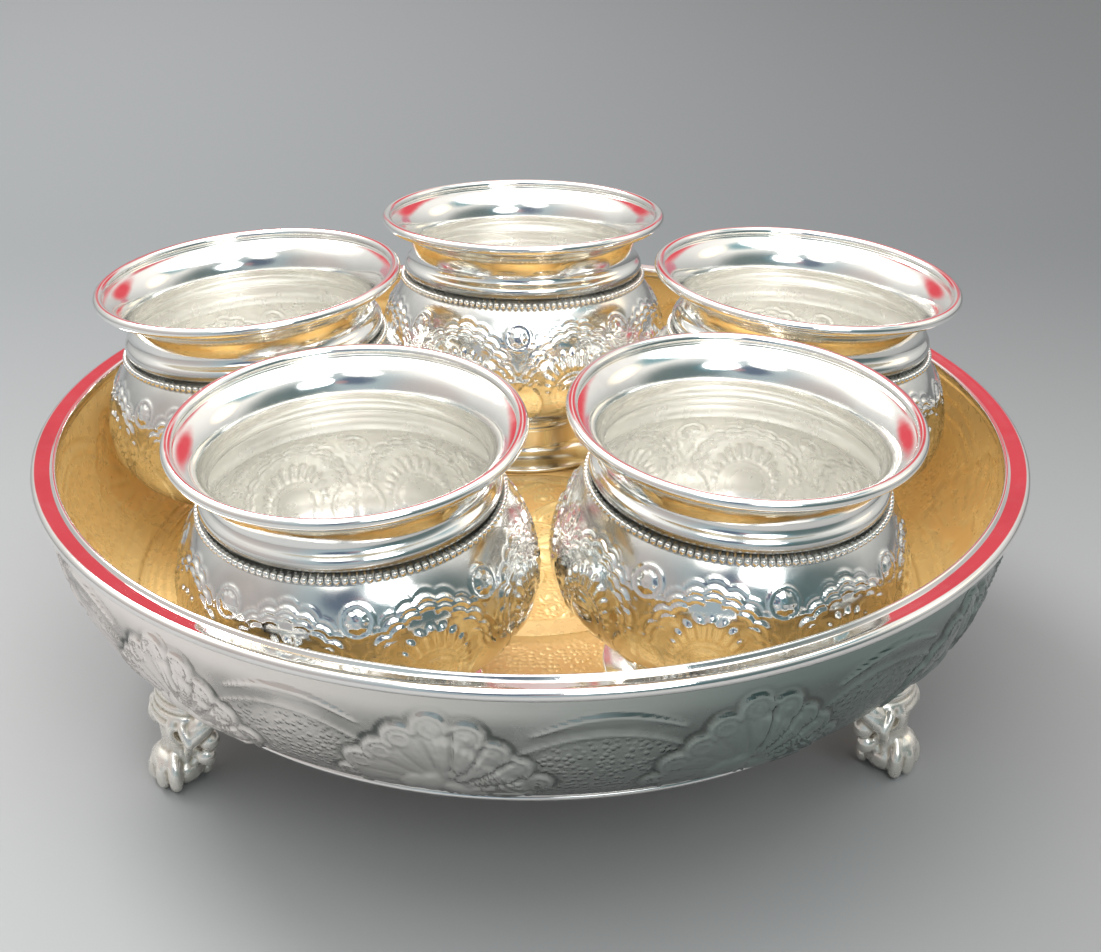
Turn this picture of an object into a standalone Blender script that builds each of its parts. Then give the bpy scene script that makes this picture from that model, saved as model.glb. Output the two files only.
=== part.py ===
"""Footed devotional plate with five loose bowls, in embossed white metal.

A deep round dish is drawn from one sheet, with a rolled flat rim and a gently
coned floor. Three cast scroll feet are riveted under it. Five spun bowls, each
with a soldered ring foot, stand in a circle on the floor and lean out with it.
Units are metres, +Z is up, and the origin is on the ground under the centre.
"""

import math

import bmesh
import bpy
from mathutils import Matrix

# General
CLEARANCE = 0.0003
MERGE_DISTANCE = 0.000001

# Bowls: depths are measured down from the top of the rim
BOWL_COUNT = 5
BOWL_TURN = math.radians(1.9)
BOWL_DIAMETER = 0.0705
BOWL_SHEET = 0.0008
BOWL_RIM_BEAD_RADIUS = 0.0012
BOWL_NECK_DIAMETER = 0.0558
BOWL_NECK_DEPTH = 0.0098
BOWL_COLLAR_DIAMETER = 0.0598
BOWL_COLLAR_TOP = 0.0124
BOWL_COLLAR_BOTTOM = 0.0168
BOWL_BELLY_DIAMETER = 0.0720
BOWL_BELLY_DEPTH = 0.0335
BOWL_BOTTOM_DIAMETER = 0.0350
BOWL_BOTTOM_DEPTH = 0.0486
BOWL_GAP = 0.0097
BOWL_TO_PLATE_EDGE = 0.0066

# The loose bowls stand a little out of their even circle: for each, its turn in degrees and its reach
BOWL_NUDGES = ((-1.0, -0.0007), (-2.7, 0.0), (2.7, 0.0008), (0.6, -0.0012), (0.0, 0.0))
# Degrees that each bowl is turned about its own axis
BOWL_SPINS = (42.0, 20.0, 36.0, 17.0, 5.0)

# Arches pressed out of each bowl's belly
ARCH_COUNT = 8
ARCH_TIP_DEPTH = 0.0330
ARCH_RISE = 0.0140
ARCH_SHAPE = 2.2
ARCH_FOOT_DEPTH = 0.0455
ARCH_RELIEF = 0.0007

# Ring foot soldered under each bowl
RING_FOOT_HEIGHT = 0.0125
RING_FOOT_STEM_DIAMETER = 0.0336
RING_FOOT_BASE_DIAMETER = 0.0472
RING_FOOT_FLARE_HEIGHT = 0.0048
RING_FOOT_EDGE_HEIGHT = 0.0009
RING_FOOT_SHEET = 0.0010
RING_FOOT_SEAT_WIDTH = 0.0040

# Dish
DISH_DEPTH = 0.0370
DISH_SHEET = 0.0011
DISH_WALL_DRAW_IN = 0.0162
DISH_WALL_ROUNDNESS = 2.3
RIM_WIDTH = 0.0056
RIM_THICKNESS = 0.0026
RIM_OVERHANG = 0.0029
RIM_BEAD_HEIGHT = 0.0005
BASE_RING_HEIGHT = 0.0022
BASE_RING_STEP = 0.0006
BASE_LAND_WIDTH = 0.0030
FLOOR_SLOPE = math.radians(4.67)
FLOOR_CENTRE_RADIUS = 0.0280

# Scallop shells pressed out of the dish's wall, with a low mound between two of them
SHELL_COUNT = 11
SHELL_TURN = math.radians(260.5)
SHELL_BASE_DEPTH = 0.0315
SHELL_TOP_DEPTH = 0.0065
SHELL_HALF_WIDTH = 0.0235
SHELL_RELIEF = 0.0011
MOUND_TOP_DEPTH = 0.0085
MOUND_HALF_WIDTH = 0.0155
MOUND_RELIEF = 0.0005
RELIEF_SOFTNESS = 0.0035

# Feet
FOOT_COUNT = 3
FOOT_HEIGHT = 0.0258
FOOT_FLANGE_RADIUS = 0.0072
FOOT_FLANGE_THICKNESS = 0.0016
LEG_TOP_RADIUS = 0.0042
KNEE_REACH = 0.0160
KNEE_DROP = 0.0105
KNEE_RADIUS = 0.0038
ANKLE_REACH = 0.0148
ANKLE_HEIGHT = 0.0105
ANKLE_RADIUS = 0.0031
PAW_REACH = 0.0168
PAW_LENGTH = 0.0118
PAW_WIDTH = 0.0094
PAW_HEIGHT = 0.0090
PAW_SOLE_CUT = 0.0008
TOE_COUNT = 3
TOE_RADIUS = 0.0019
WING_SPREAD = 0.0085
WING_REACH = 0.0142
WING_DROP = 0.0085
WING_RADIUS = 0.0031
WING_CURL_DROP = 0.0145
WING_CURL_RADIUS = 0.0021

# Rivets through the dish into the feet
RIVET_SHANK_RADIUS = 0.0012
RIVET_SHANK_LENGTH = 0.0060
RIVET_HEAD_RADIUS = 0.0024
RIVET_HEAD_HEIGHT = 0.0010
RIVET_TO_RING_FOOT = 0.0015

# Facets
STEPS_TO_AN_ARCH = 4
STEPS_TO_A_SHELL = 8
RING_FOOT_SEGMENTS = 24
RIVET_SEGMENTS = 12
TUBE_RESOLUTION = 2
TUBE_STEPS = 2
LUMP_SEGMENTS = 12
LUMP_RINGS = 7
ARC_STEPS = 4
WALL_STEPS = 10
SHOULDER_STEPS = 3

# Worked out from the sizes above
BOWL_RADIUS = BOWL_DIAMETER / 2
BOWL_HEIGHT = BOWL_BOTTOM_DEPTH + CLEARANCE + RING_FOOT_HEIGHT
BOWL_RIM_CIRCLE = (BOWL_DIAMETER + BOWL_GAP) / (2 * math.sin(math.pi / BOWL_COUNT))
BOWL_SEAT_CIRCLE = BOWL_RIM_CIRCLE - BOWL_HEIGHT * math.sin(FLOOR_SLOPE)
PLATE_RADIUS = BOWL_RIM_CIRCLE + BOWL_RADIUS + BOWL_TO_PLATE_EDGE
WALL_TOP_RADIUS = PLATE_RADIUS - RIM_OVERHANG
BASE_RADIUS = WALL_TOP_RADIUS - DISH_WALL_DRAW_IN
FLOOR_EDGE_RADIUS = BASE_RADIUS - BASE_LAND_WIDTH
RING_FOOT_BORE_RADIUS = RING_FOOT_STEM_DIAMETER / 2 - RING_FOOT_SHEET
FOOT_CIRCLE = BOWL_SEAT_CIRCLE + RING_FOOT_BORE_RADIUS - RIVET_HEAD_RADIUS - RIVET_TO_RING_FOOT
RIM_HEIGHT = FOOT_HEIGHT + DISH_DEPTH
BACK = math.pi / 2


def ring_angle(index, count, start):
    """Angle of one of several pieces spaced evenly round the dish."""
    return start + BOWL_TURN + 2 * math.pi * index / count


def floor_height(radius):
    """World height of the floor's upper face at a radius on its cone."""
    rise = (FLOOR_EDGE_RADIUS - radius) * math.tan(FLOOR_SLOPE)
    return FOOT_HEIGHT + DISH_SHEET + rise


def metal(name, colour, roughness):
    """White metal with a slight tint."""
    material = bpy.data.materials.new(name)
    material.use_nodes = True
    shader = material.node_tree.nodes["Principled BSDF"]
    shader.inputs["Base Color"].default_value = (*colour, 1.0)
    shader.inputs["Metallic"].default_value = 1.0
    shader.inputs["Roughness"].default_value = roughness
    material.diffuse_color = (*colour, 1.0)
    return material


def new_collection(name):
    """Collection linked to the scene."""
    collection = bpy.data.collections.new(name)
    bpy.context.scene.collection.children.link(collection)
    return collection


def smooth(mesh):
    """Smooth shading that keeps the sharp corners."""
    mesh.shade_smooth()
    mesh.set_sharp_from_angle(angle=math.radians(35))


def arc(centre_x, centre_z, size_x, size_z, start, end, steps):
    """Points along part of an ellipse, angles in degrees from +X towards +Z."""
    points = []
    for step in range(steps + 1):
        angle = math.radians(start + (end - start) * step / steps)
        points.append((centre_x + size_x * math.cos(angle), centre_z + size_z * math.sin(angle)))
    return points


def offset_inside(points, distance):
    """The same line moved to its left-hand side when it runs down, towards the axis."""
    moved = []
    last = len(points) - 1
    for index, (x, z) in enumerate(points):
        x0, z0 = points[max(index - 1, 0)]
        x1, z1 = points[min(index + 1, last)]
        length = math.hypot(x1 - x0, z1 - z0)
        moved.append((x + distance * (z1 - z0) / length, z - distance * (x1 - x0) / length))
    return moved


def profile_mesh(name, points, closed):
    """Mesh of a turned piece's profile in the XZ plane."""
    mesh = bpy.data.meshes.new(name)
    edges = [(index, index + 1) for index in range(len(points) - 1)]
    if closed:
        edges.append((len(points) - 1, 0))
    mesh.from_pydata([(x, 0, z) for x, z in points], edges, [])
    return mesh


def turned(name, mesh, segments, material, collection):
    """Object whose profile is turned about Z."""
    piece = bpy.data.objects.new(name, mesh)
    collection.objects.link(piece)
    screw = piece.modifiers.new("turn", "SCREW")
    screw.axis = "Z"
    screw.angle = 2 * math.pi
    screw.steps = segments
    screw.render_steps = segments
    screw.use_merge_vertices = True
    screw.merge_threshold = MERGE_DISTANCE
    screw.use_smooth_shade = True
    if not mesh.materials:
        mesh.materials.append(material)
    return piece


def bead_points(centre_x, centre_z, radius, start, end):
    """Rounded edge, drawn from its inner side over the top to its outer side."""
    return arc(centre_x, centre_z, radius, radius, start, end, ARC_STEPS)


def bowl_profile():
    """Spun bowl: beaded rim, concave neck, collar and round belly."""
    bead = BOWL_RIM_BEAD_RADIUS
    bead_x = BOWL_RADIUS - bead
    neck = BOWL_NECK_DIAMETER / 2
    collar = BOWL_COLLAR_DIAMETER / 2
    belly = BOWL_BELLY_DIAMETER / 2
    bottom = BOWL_BOTTOM_DIAMETER / 2
    lip_depth = 2 * bead
    lip_x = bead_x + BOWL_SHEET / 2
    shoulder = math.degrees(math.acos((collar - bottom) / (belly - bottom)))
    shoulder_size = (BOWL_BELLY_DEPTH - BOWL_COLLAR_BOTTOM) / math.sin(math.radians(shoulder))

    outside = arc(lip_x, -BOWL_NECK_DEPTH, lip_x - neck, BOWL_NECK_DEPTH - lip_depth, 90, 180, 3)
    outside += [(collar, -BOWL_COLLAR_TOP), (collar, -BOWL_COLLAR_BOTTOM)]
    outside += arc(bottom, -BOWL_BELLY_DEPTH, belly - bottom, shoulder_size, shoulder, 0,
                   SHOULDER_STEPS)[1:]
    drop = BOWL_BOTTOM_DEPTH - BOWL_BELLY_DEPTH
    outside += arc(bottom, -BOWL_BELLY_DEPTH, belly - bottom, drop, 0, -90, ARC_STEPS)[1:]
    inside = offset_inside(outside, BOWL_SHEET)
    inside.reverse()

    floor = [(0, -BOWL_BOTTOM_DEPTH + BOWL_SHEET)]
    rim = bead_points(bead_x, -bead, bead, 250, -70)
    return floor + inside + rim[:-1] + outside + [(0, -BOWL_BOTTOM_DEPTH)]


def ring_foot_profile():
    """Spun ring foot: a flat seat, a straight stem and a flared base."""
    stem = RING_FOOT_STEM_DIAMETER / 2
    base = RING_FOOT_BASE_DIAMETER / 2
    seat = stem - RING_FOOT_SEAT_WIDTH
    flare_top = RING_FOOT_FLARE_HEIGHT
    edge = RING_FOOT_EDGE_HEIGHT
    outside = [(stem, RING_FOOT_HEIGHT)]
    outside += arc(base, flare_top, base - stem, flare_top - edge, 180, 270, 3)
    outside.append((base, 0))
    inner_stem = RING_FOOT_BORE_RADIUS
    inner_base = base - RING_FOOT_SHEET
    under = arc(inner_base, flare_top, inner_base - inner_stem, flare_top - edge / 2, 270, 180, 3)
    under[0] = (inner_base, 0)
    seat_under = RING_FOOT_HEIGHT - RING_FOOT_SHEET
    inside = under + [(inner_stem, seat_under), (seat, seat_under), (seat, RING_FOOT_HEIGHT)]
    return outside + inside


def wall_share(down):
    """How much of the wall's top radius is drawn in at a depth, on a superellipse."""
    return 1 - (1 - (down / DISH_DEPTH) ** DISH_WALL_ROUNDNESS) ** (1 / DISH_WALL_ROUNDNESS)


def dish_wall(steps):
    """Rounded wall from under the rim down to the top of the base ring."""
    points = []
    lowest = DISH_DEPTH - BASE_RING_HEIGHT
    for step in range(steps + 1):
        down = RIM_THICKNESS + (lowest - RIM_THICKNESS) * math.sin(0.5 * math.pi * step / steps)
        draw_in = DISH_WALL_DRAW_IN * wall_share(down) / wall_share(lowest)
        points.append((WALL_TOP_RADIUS - draw_in, -down))
    return points


def dish_profile():
    """Drawn dish: rolled rim, rounded wall, base ring and coned floor."""
    wall = dish_wall(WALL_STEPS)
    ring_x = BASE_RADIUS + BASE_RING_STEP
    ring_top = -DISH_DEPTH + BASE_RING_HEIGHT
    floor_edge = FLOOR_EDGE_RADIUS
    centre_rise = (floor_edge - FLOOR_CENTRE_RADIUS) * math.tan(FLOOR_SLOPE)
    bottom = -DISH_DEPTH

    inner_wall = offset_inside(wall, DISH_SHEET)
    inner_wall.reverse()
    inner_edge = PLATE_RADIUS - RIM_WIDTH
    half = RIM_THICKNESS / 2
    outer_bead = arc(PLATE_RADIUS - half, -half, half, half, 100, -90, 4)
    rim = [
        (inner_edge + RIM_BEAD_HEIGHT, -RIM_THICKNESS),
        (inner_edge, -RIM_THICKNESS + RIM_BEAD_HEIGHT),
        (inner_edge, 0),
        (inner_edge + RIM_BEAD_HEIGHT, RIM_BEAD_HEIGHT),
        (inner_edge + 2 * RIM_BEAD_HEIGHT, 0),
    ]
    floor = [
        (0, bottom + DISH_SHEET + centre_rise),
        (FLOOR_CENTRE_RADIUS, bottom + DISH_SHEET + centre_rise),
        (floor_edge, bottom + DISH_SHEET),
    ]
    under = [
        (ring_x, ring_top),
        (ring_x, bottom),
        (floor_edge, bottom),
        (FLOOR_CENTRE_RADIUS, bottom + centre_rise),
        (0, bottom + centre_rise),
    ]
    return floor + inner_wall + rim + outer_bead + wall[1:] + under


def rivet_profile():
    """Rivet with a low domed head, seated on the floor at z = 0."""
    dome = arc(0, CLEARANCE, RIVET_HEAD_RADIUS, RIVET_HEAD_HEIGHT, 90, 0, 3)
    return dome + [(RIVET_SHANK_RADIUS, CLEARANCE), (RIVET_SHANK_RADIUS, -RIVET_SHANK_LENGTH),
                   (0, -RIVET_SHANK_LENGTH)]


def evaluated_copy(piece):
    """Welded mesh of an object as it is evaluated, in world space."""
    bpy.context.view_layer.update()
    graph = bpy.context.evaluated_depsgraph_get()
    mesh = bpy.data.meshes.new_from_object(piece.evaluated_get(graph))
    mesh.transform(piece.matrix_world)
    shape = bmesh.new()
    shape.from_mesh(mesh)
    bmesh.ops.remove_doubles(shape, verts=shape.verts, dist=MERGE_DISTANCE)
    bmesh.ops.recalc_face_normals(shape, faces=shape.faces)
    shape.to_mesh(mesh)
    shape.free()
    return mesh


def soft_edge(inside):
    """Smooth rise from 0 at an edge to 1 at the relief's softness inside it."""
    share = min(max(inside / RELIEF_SOFTNESS, 0), 1)
    return share * share * (3 - 2 * share)


def wall_relief(angle, depth):
    """How far the dish's wall is pressed out, at an angle from a shell and a depth below the rim."""
    pitch = 2 * math.pi / SHELL_COUNT
    across = abs((angle + pitch / 2) % pitch - pitch / 2) * WALL_TOP_RADIUS
    above = SHELL_BASE_DEPTH - depth
    reach = math.hypot(across / SHELL_HALF_WIDTH, above / (SHELL_BASE_DEPTH - SHELL_TOP_DEPTH))
    shell = SHELL_RELIEF * soft_edge((1 - reach) * SHELL_HALF_WIDTH)
    beside = pitch / 2 * WALL_TOP_RADIUS - across
    mound = MOUND_RELIEF * soft_edge(MOUND_HALF_WIDTH - beside) * soft_edge(depth - MOUND_TOP_DEPTH)
    return max(shell, mound) * soft_edge(above)


def belly_relief(angle, depth):
    """How far a bowl's belly is pressed out, at an angle from two arches' tips and a depth."""
    pitch = 2 * math.pi / ARCH_COUNT
    turn = abs(2 * (angle % pitch) / pitch - 1)
    top = ARCH_TIP_DEPTH - ARCH_RISE * (1 - turn ** ARCH_SHAPE)
    return ARCH_RELIEF * soft_edge(depth - top) * soft_edge(ARCH_FOOT_DEPTH - depth)


def pressed_mesh(piece, centre_radius, centre_height, relief):
    """Mesh of a turned sheet with both faces pressed away from a ring inside it."""
    mesh = evaluated_copy(piece)
    bpy.data.objects.remove(piece)
    for vertex in mesh.vertices:
        x, y, z = vertex.co
        radius = math.hypot(x, y)
        if radius <= centre_radius:
            continue
        out = radius - centre_radius
        up = z - centre_height
        push = relief(math.atan2(y, x), -z) / math.hypot(out, up)
        vertex.co = (x + push * out * x / radius, y + push * out * y / radius, z + push * up)
    smooth(mesh)
    return mesh


def mesh_object(name, mesh, collection):
    """Object made from a mesh."""
    piece = bpy.data.objects.new(name, mesh)
    collection.objects.link(piece)
    return piece


def smooth_line(points, steps):
    """Line through points of any dimension, rounded between them."""
    line = []
    last = len(points) - 1
    for index in range(last):
        before = points[max(index - 1, 0)]
        start = points[index]
        end = points[index + 1]
        after = points[min(index + 2, last)]
        for step in range(steps):
            t = step / steps
            line.append(tuple(
                0.5 * (2 * b + (c - a) * t + (2 * a - 5 * b + 4 * c - d) * t ** 2
                       + (3 * b - a - 3 * c + d) * t ** 3)
                for a, b, c, d in zip(before, start, end, after)))
    line.append(points[-1])
    return line


def tapered_tube(name, points, collection):
    """Tube through (x, y, z, radius) points, as a mesh object."""
    line = smooth_line(points, TUBE_STEPS)
    curve = bpy.data.curves.new(name, "CURVE")
    curve.dimensions = "3D"
    curve.bevel_depth = 1.0
    curve.bevel_resolution = TUBE_RESOLUTION
    curve.use_fill_caps = True
    spline = curve.splines.new("POLY")
    spline.points.add(len(line) - 1)
    for point, (x, y, z, radius) in zip(spline.points, line):
        point.co = (x, y, z, 1)
        point.radius = radius
    guide = bpy.data.objects.new(name + "_guide", curve)
    collection.objects.link(guide)
    mesh = evaluated_copy(guide)
    bpy.data.objects.remove(guide)
    return mesh_object(name, mesh, collection)


def ellipsoid(name, centre, sizes, collection):
    """Rounded lump of given half sizes."""
    mesh = bpy.data.meshes.new(name)
    shape = bmesh.new()
    bmesh.ops.create_uvsphere(shape, u_segments=LUMP_SEGMENTS, v_segments=LUMP_RINGS, radius=1.0)
    bmesh.ops.transform(shape, matrix=Matrix.Diagonal((*sizes, 1.0)), verts=shape.verts)
    bmesh.ops.translate(shape, vec=centre, verts=shape.verts)
    shape.to_mesh(mesh)
    shape.free()
    return mesh_object(name, mesh, collection)


def round_bar(name, radius, bottom, top, segments, collection):
    """Upright cylinder between two heights on its own axis."""
    mesh = bpy.data.meshes.new(name)
    shape = bmesh.new()
    bmesh.ops.create_cone(shape, cap_ends=True, segments=segments, radius1=radius,
                          radius2=radius, depth=top - bottom)
    bmesh.ops.translate(shape, vec=(0, 0, (top + bottom) / 2), verts=shape.verts)
    shape.to_mesh(mesh)
    shape.free()
    return mesh_object(name, mesh, collection)


def block(name, centre_x, half_size, top, collection):
    """Square block with its top face at a height."""
    mesh = bpy.data.meshes.new(name)
    shape = bmesh.new()
    bmesh.ops.create_cube(shape, size=2 * half_size)
    bmesh.ops.translate(shape, vec=(centre_x, 0, top - half_size), verts=shape.verts)
    shape.to_mesh(mesh)
    shape.free()
    return mesh_object(name, mesh, collection)


def combine(base, others, operation):
    """Joins other closed shapes to a base shape, or cuts them from it."""
    for index, other in enumerate(others):
        joint = base.modifiers.new(operation.lower() + str(index), "BOOLEAN")
        joint.operation = operation
        joint.solver = "EXACT"
        joint.object = other
    mesh = evaluated_copy(base)
    base.modifiers.clear()
    base.data = mesh
    base.matrix_world = Matrix.Identity(4)
    for other in others:
        bpy.data.objects.remove(other)
    return base


def seat_on_floor(piece, radius, height, angle):
    """Puts a piece square to the coned floor, at a radius and an angle."""
    piece.location = (radius * math.cos(angle), radius * math.sin(angle), height)
    piece.rotation_euler = (0, FLOOR_SLOPE, angle)


def foot_leg(collection):
    """Cabriole leg from the flange through the knee to the ankle and paw."""
    x = FOOT_CIRCLE
    top = FOOT_HEIGHT
    return tapered_tube("leg", [
        (x, 0, top - FOOT_FLANGE_THICKNESS, LEG_TOP_RADIUS),
        (x + KNEE_REACH / 2, 0, top - KNEE_DROP / 2, LEG_TOP_RADIUS),
        (x + KNEE_REACH, 0, top - KNEE_DROP, KNEE_RADIUS),
        (x + ANKLE_REACH, 0, ANKLE_HEIGHT, ANKLE_RADIUS),
        (x + PAW_REACH, 0, PAW_HEIGHT / 2, ANKLE_RADIUS),
    ], collection)


def foot_wing(side, collection):
    """Scroll leaf beside the leg, curling in at its lower end."""
    x = FOOT_CIRCLE
    top = FOOT_HEIGHT
    spread = side * WING_SPREAD
    reach = x + WING_REACH
    return tapered_tube("wing", [
        (x, side * LEG_TOP_RADIUS / 2, top - FOOT_FLANGE_THICKNESS, WING_CURL_RADIUS),
        (x + WING_REACH / 2, spread * 0.75, top - WING_DROP / 2, WING_RADIUS),
        (reach, spread, top - WING_DROP, WING_RADIUS),
        (reach, spread, top - WING_CURL_DROP + WING_CURL_RADIUS, WING_CURL_RADIUS),
        (reach - WING_CURL_RADIUS, spread - side * WING_CURL_RADIUS, top - WING_CURL_DROP, WING_CURL_RADIUS),
    ], collection)


def foot_paw(collection):
    """Paw with its toes, in separate lumps."""
    x = FOOT_CIRCLE + PAW_REACH
    middle = PAW_HEIGHT / 2 - PAW_SOLE_CUT
    lumps = [ellipsoid("paw", (x, 0, middle), (PAW_LENGTH / 2, PAW_WIDTH / 2, PAW_HEIGHT / 2), collection)]
    for toe in range(TOE_COUNT):
        angle = math.radians(50 * (toe - (TOE_COUNT - 1) / 2))
        toe_x = x + (PAW_LENGTH / 2 - TOE_RADIUS) * math.cos(angle)
        toe_y = (PAW_WIDTH / 2 - TOE_RADIUS / 2) * math.sin(angle)
        sizes = (TOE_RADIUS, TOE_RADIUS * 0.9, TOE_RADIUS * 1.3)
        lumps.append(ellipsoid("toe", (toe_x, toe_y, TOE_RADIUS), sizes, collection))
    return lumps


def foot_mesh(collection):
    """Cast foot as one closed body, bored for its rivet and flat on the ground."""
    under_floor = floor_height(FOOT_CIRCLE) - DISH_SHEET / math.cos(FLOOR_SLOPE) - CLEARANCE
    flange = round_bar("flange", FOOT_FLANGE_RADIUS, -FOOT_FLANGE_THICKNESS, 0, 20, collection)
    seat_on_floor(flange, FOOT_CIRCLE, under_floor, 0)
    shapes = [foot_leg(collection), foot_wing(-1, collection), foot_wing(1, collection)]
    foot = combine(flange, shapes + foot_paw(collection), "UNION")

    above = round_bar("above", 3 * FOOT_FLANGE_RADIUS, 0, FOOT_HEIGHT, 20, collection)
    seat_on_floor(above, FOOT_CIRCLE, under_floor, 0)
    bore_bottom = -RIVET_SHANK_LENGTH - CLEARANCE
    bore = round_bar("bore", RIVET_SHANK_RADIUS + CLEARANCE, bore_bottom, FOOT_HEIGHT,
                     RIVET_SEGMENTS, collection)
    seat_on_floor(bore, FOOT_CIRCLE, floor_height(FOOT_CIRCLE), 0)
    ground = block("ground", FOOT_CIRCLE + KNEE_REACH / 2, 2 * FOOT_HEIGHT, 0, collection)
    combine(foot, [above, bore, ground], "DIFFERENCE")
    mesh = foot.data
    mesh.name = "cast_foot"
    smooth(mesh)
    bpy.data.objects.remove(foot)
    return mesh


def build_dish(parts, cutters, material):
    """Dish with a rivet hole over each foot."""
    segments = SHELL_COUNT * STEPS_TO_A_SHELL
    sheet = turned("dish_sheet", profile_mesh("dish", dish_profile(), False), segments, material, cutters)
    dish = mesh_object("dish", pressed_mesh(sheet, WALL_TOP_RADIUS - DISH_DEPTH, 0, wall_relief), parts)
    dish.location.z = RIM_HEIGHT
    dish.rotation_euler.z = SHELL_TURN
    for index in range(FOOT_COUNT):
        hole = round_bar("rivet_hole_" + str(index), RIVET_SHANK_RADIUS + CLEARANCE,
                         -FOOT_HEIGHT / 2, FOOT_HEIGHT / 2, RIVET_SEGMENTS, cutters)
        seat_on_floor(hole, FOOT_CIRCLE, floor_height(FOOT_CIRCLE), foot_angle(index))
        hole.hide_render = True
        hole.display_type = "WIRE"
        cut = dish.modifiers.new("rivet_hole", "BOOLEAN")
        cut.operation = "DIFFERENCE"
        cut.solver = "EXACT"
        cut.object = hole
    return dish


def foot_angle(index):
    """Angle of a foot: one at the back, the others evenly round."""
    return ring_angle(index, FOOT_COUNT, BACK)


def foot_names():
    """Names of the feet, in the order of their angles."""
    if FOOT_COUNT == 3:
        return ("back", "front_left", "front_right")
    return tuple(str(index + 1) for index in range(FOOT_COUNT))


def build_feet(parts, cutters, cast, rivet_metal):
    """Cast feet and the rivets that hold them."""
    mesh = foot_mesh(cutters)
    mesh.materials.clear()
    mesh.materials.append(cast)
    rivet_mesh = profile_mesh("rivet", rivet_profile(), False)
    for index, name in enumerate(foot_names()):
        foot = mesh_object("foot_" + name, mesh, parts)
        foot.rotation_euler.z = foot_angle(index)
        rivet = turned("rivet_" + name, rivet_mesh, RIVET_SEGMENTS, rivet_metal, parts)
        seat_on_floor(rivet, FOOT_CIRCLE, floor_height(FOOT_CIRCLE), foot_angle(index))


def bowl_names():
    """Names of the bowls, in the order of their angles."""
    if BOWL_COUNT == 5:
        return ("back", "back_left", "front_left", "front_right", "back_right")
    return tuple(str(index + 1) for index in range(BOWL_COUNT))


def bowl_seat(index):
    """Angle and radius of a bowl's seat on the floor."""
    turn, reach = BOWL_NUDGES[index % len(BOWL_NUDGES)]
    return ring_angle(index, BOWL_COUNT, BACK) + math.radians(turn), BOWL_SEAT_CIRCLE + reach


def build_bowls(parts, bowl_metal, foot_metal):
    """Bowls with their ring feet, each pair under an empty on the floor."""
    segments = ARCH_COUNT * STEPS_TO_AN_ARCH
    sheet = turned("bowl_sheet", profile_mesh("bowl", bowl_profile(), False), segments, bowl_metal, parts)
    body_mesh = pressed_mesh(sheet, BOWL_BOTTOM_DIAMETER / 2, -BOWL_BELLY_DEPTH, belly_relief)
    ring_mesh = profile_mesh("bowl_ring_foot", ring_foot_profile(), True)
    for index, name in enumerate(bowl_names()):
        seat = bpy.data.objects.new("seat_" + name, None)
        parts.objects.link(seat)
        angle, radius = bowl_seat(index)
        seat_on_floor(seat, radius, floor_height(radius) + CLEARANCE, angle)
        ring = turned("bowl_" + name + "_ring_foot", ring_mesh, RING_FOOT_SEGMENTS, foot_metal, parts)
        ring.parent = seat
        bowl = mesh_object("bowl_" + name, body_mesh, parts)
        bowl.parent = seat
        bowl.location.z = BOWL_HEIGHT
        bowl.rotation_euler.z = math.radians(BOWL_SPINS[index % len(BOWL_SPINS)])


def main():
    """Builds the plate, its feet and its bowls."""
    for piece in list(bpy.data.objects):
        bpy.data.objects.remove(piece)
    parts = new_collection("plate_with_bowls")
    cutters = new_collection("cutters")
    dish_metal = metal("dish_metal", (0.78, 0.76, 0.73), 0.26)
    cast = metal("cast_foot_metal", (0.82, 0.80, 0.75), 0.38)
    rivet_metal = metal("rivet_metal", (0.70, 0.69, 0.66), 0.35)
    bowl_metal = metal("bowl_metal", (0.86, 0.86, 0.83), 0.20)
    ring_metal = metal("ring_foot_metal", (0.84, 0.83, 0.79), 0.24)
    build_dish(parts, cutters, dish_metal)
    build_feet(parts, cutters, cast, rivet_metal)
    build_bowls(parts, bowl_metal, ring_metal)


main()
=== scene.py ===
"""Looks of a footed devotional plate with five loose bowls, in embossed white metal.

The plate is one deep dish drawn from sheet, with scallop shells and mounds
pressed into its wall, a rolled rim and three cast scroll feet. Five spun bowls
stand on its floor, each with a beaded collar, an embossed belly and a soldered
ring foot. Every piece is a mesh worked out from profiles and relief formulas.
Units are metres, +Z is up, and the origin is on the ground under the centre.
"""

import logging
import math
from collections.abc import Callable, Sequence
from dataclasses import dataclass, field
from enum import Enum

import bpy
import numpy as np
from mathutils import Matrix, Vector


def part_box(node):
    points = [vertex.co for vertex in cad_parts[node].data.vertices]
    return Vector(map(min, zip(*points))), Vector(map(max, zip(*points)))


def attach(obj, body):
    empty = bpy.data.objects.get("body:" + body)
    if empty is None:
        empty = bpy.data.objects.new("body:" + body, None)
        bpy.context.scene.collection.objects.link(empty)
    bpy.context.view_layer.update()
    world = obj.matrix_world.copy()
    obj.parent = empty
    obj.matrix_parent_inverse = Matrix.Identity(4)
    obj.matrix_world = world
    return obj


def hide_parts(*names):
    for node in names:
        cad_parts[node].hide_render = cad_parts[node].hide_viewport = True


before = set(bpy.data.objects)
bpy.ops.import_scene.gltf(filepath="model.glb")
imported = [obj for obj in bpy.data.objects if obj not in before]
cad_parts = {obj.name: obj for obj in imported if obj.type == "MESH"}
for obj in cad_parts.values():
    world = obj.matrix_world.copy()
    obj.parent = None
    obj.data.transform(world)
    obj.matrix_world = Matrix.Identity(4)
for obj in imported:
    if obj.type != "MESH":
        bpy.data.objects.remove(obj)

LOG = logging.getLogger("plate_with_bowls")
MM = 0.001
TAU = 2 * math.pi

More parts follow.
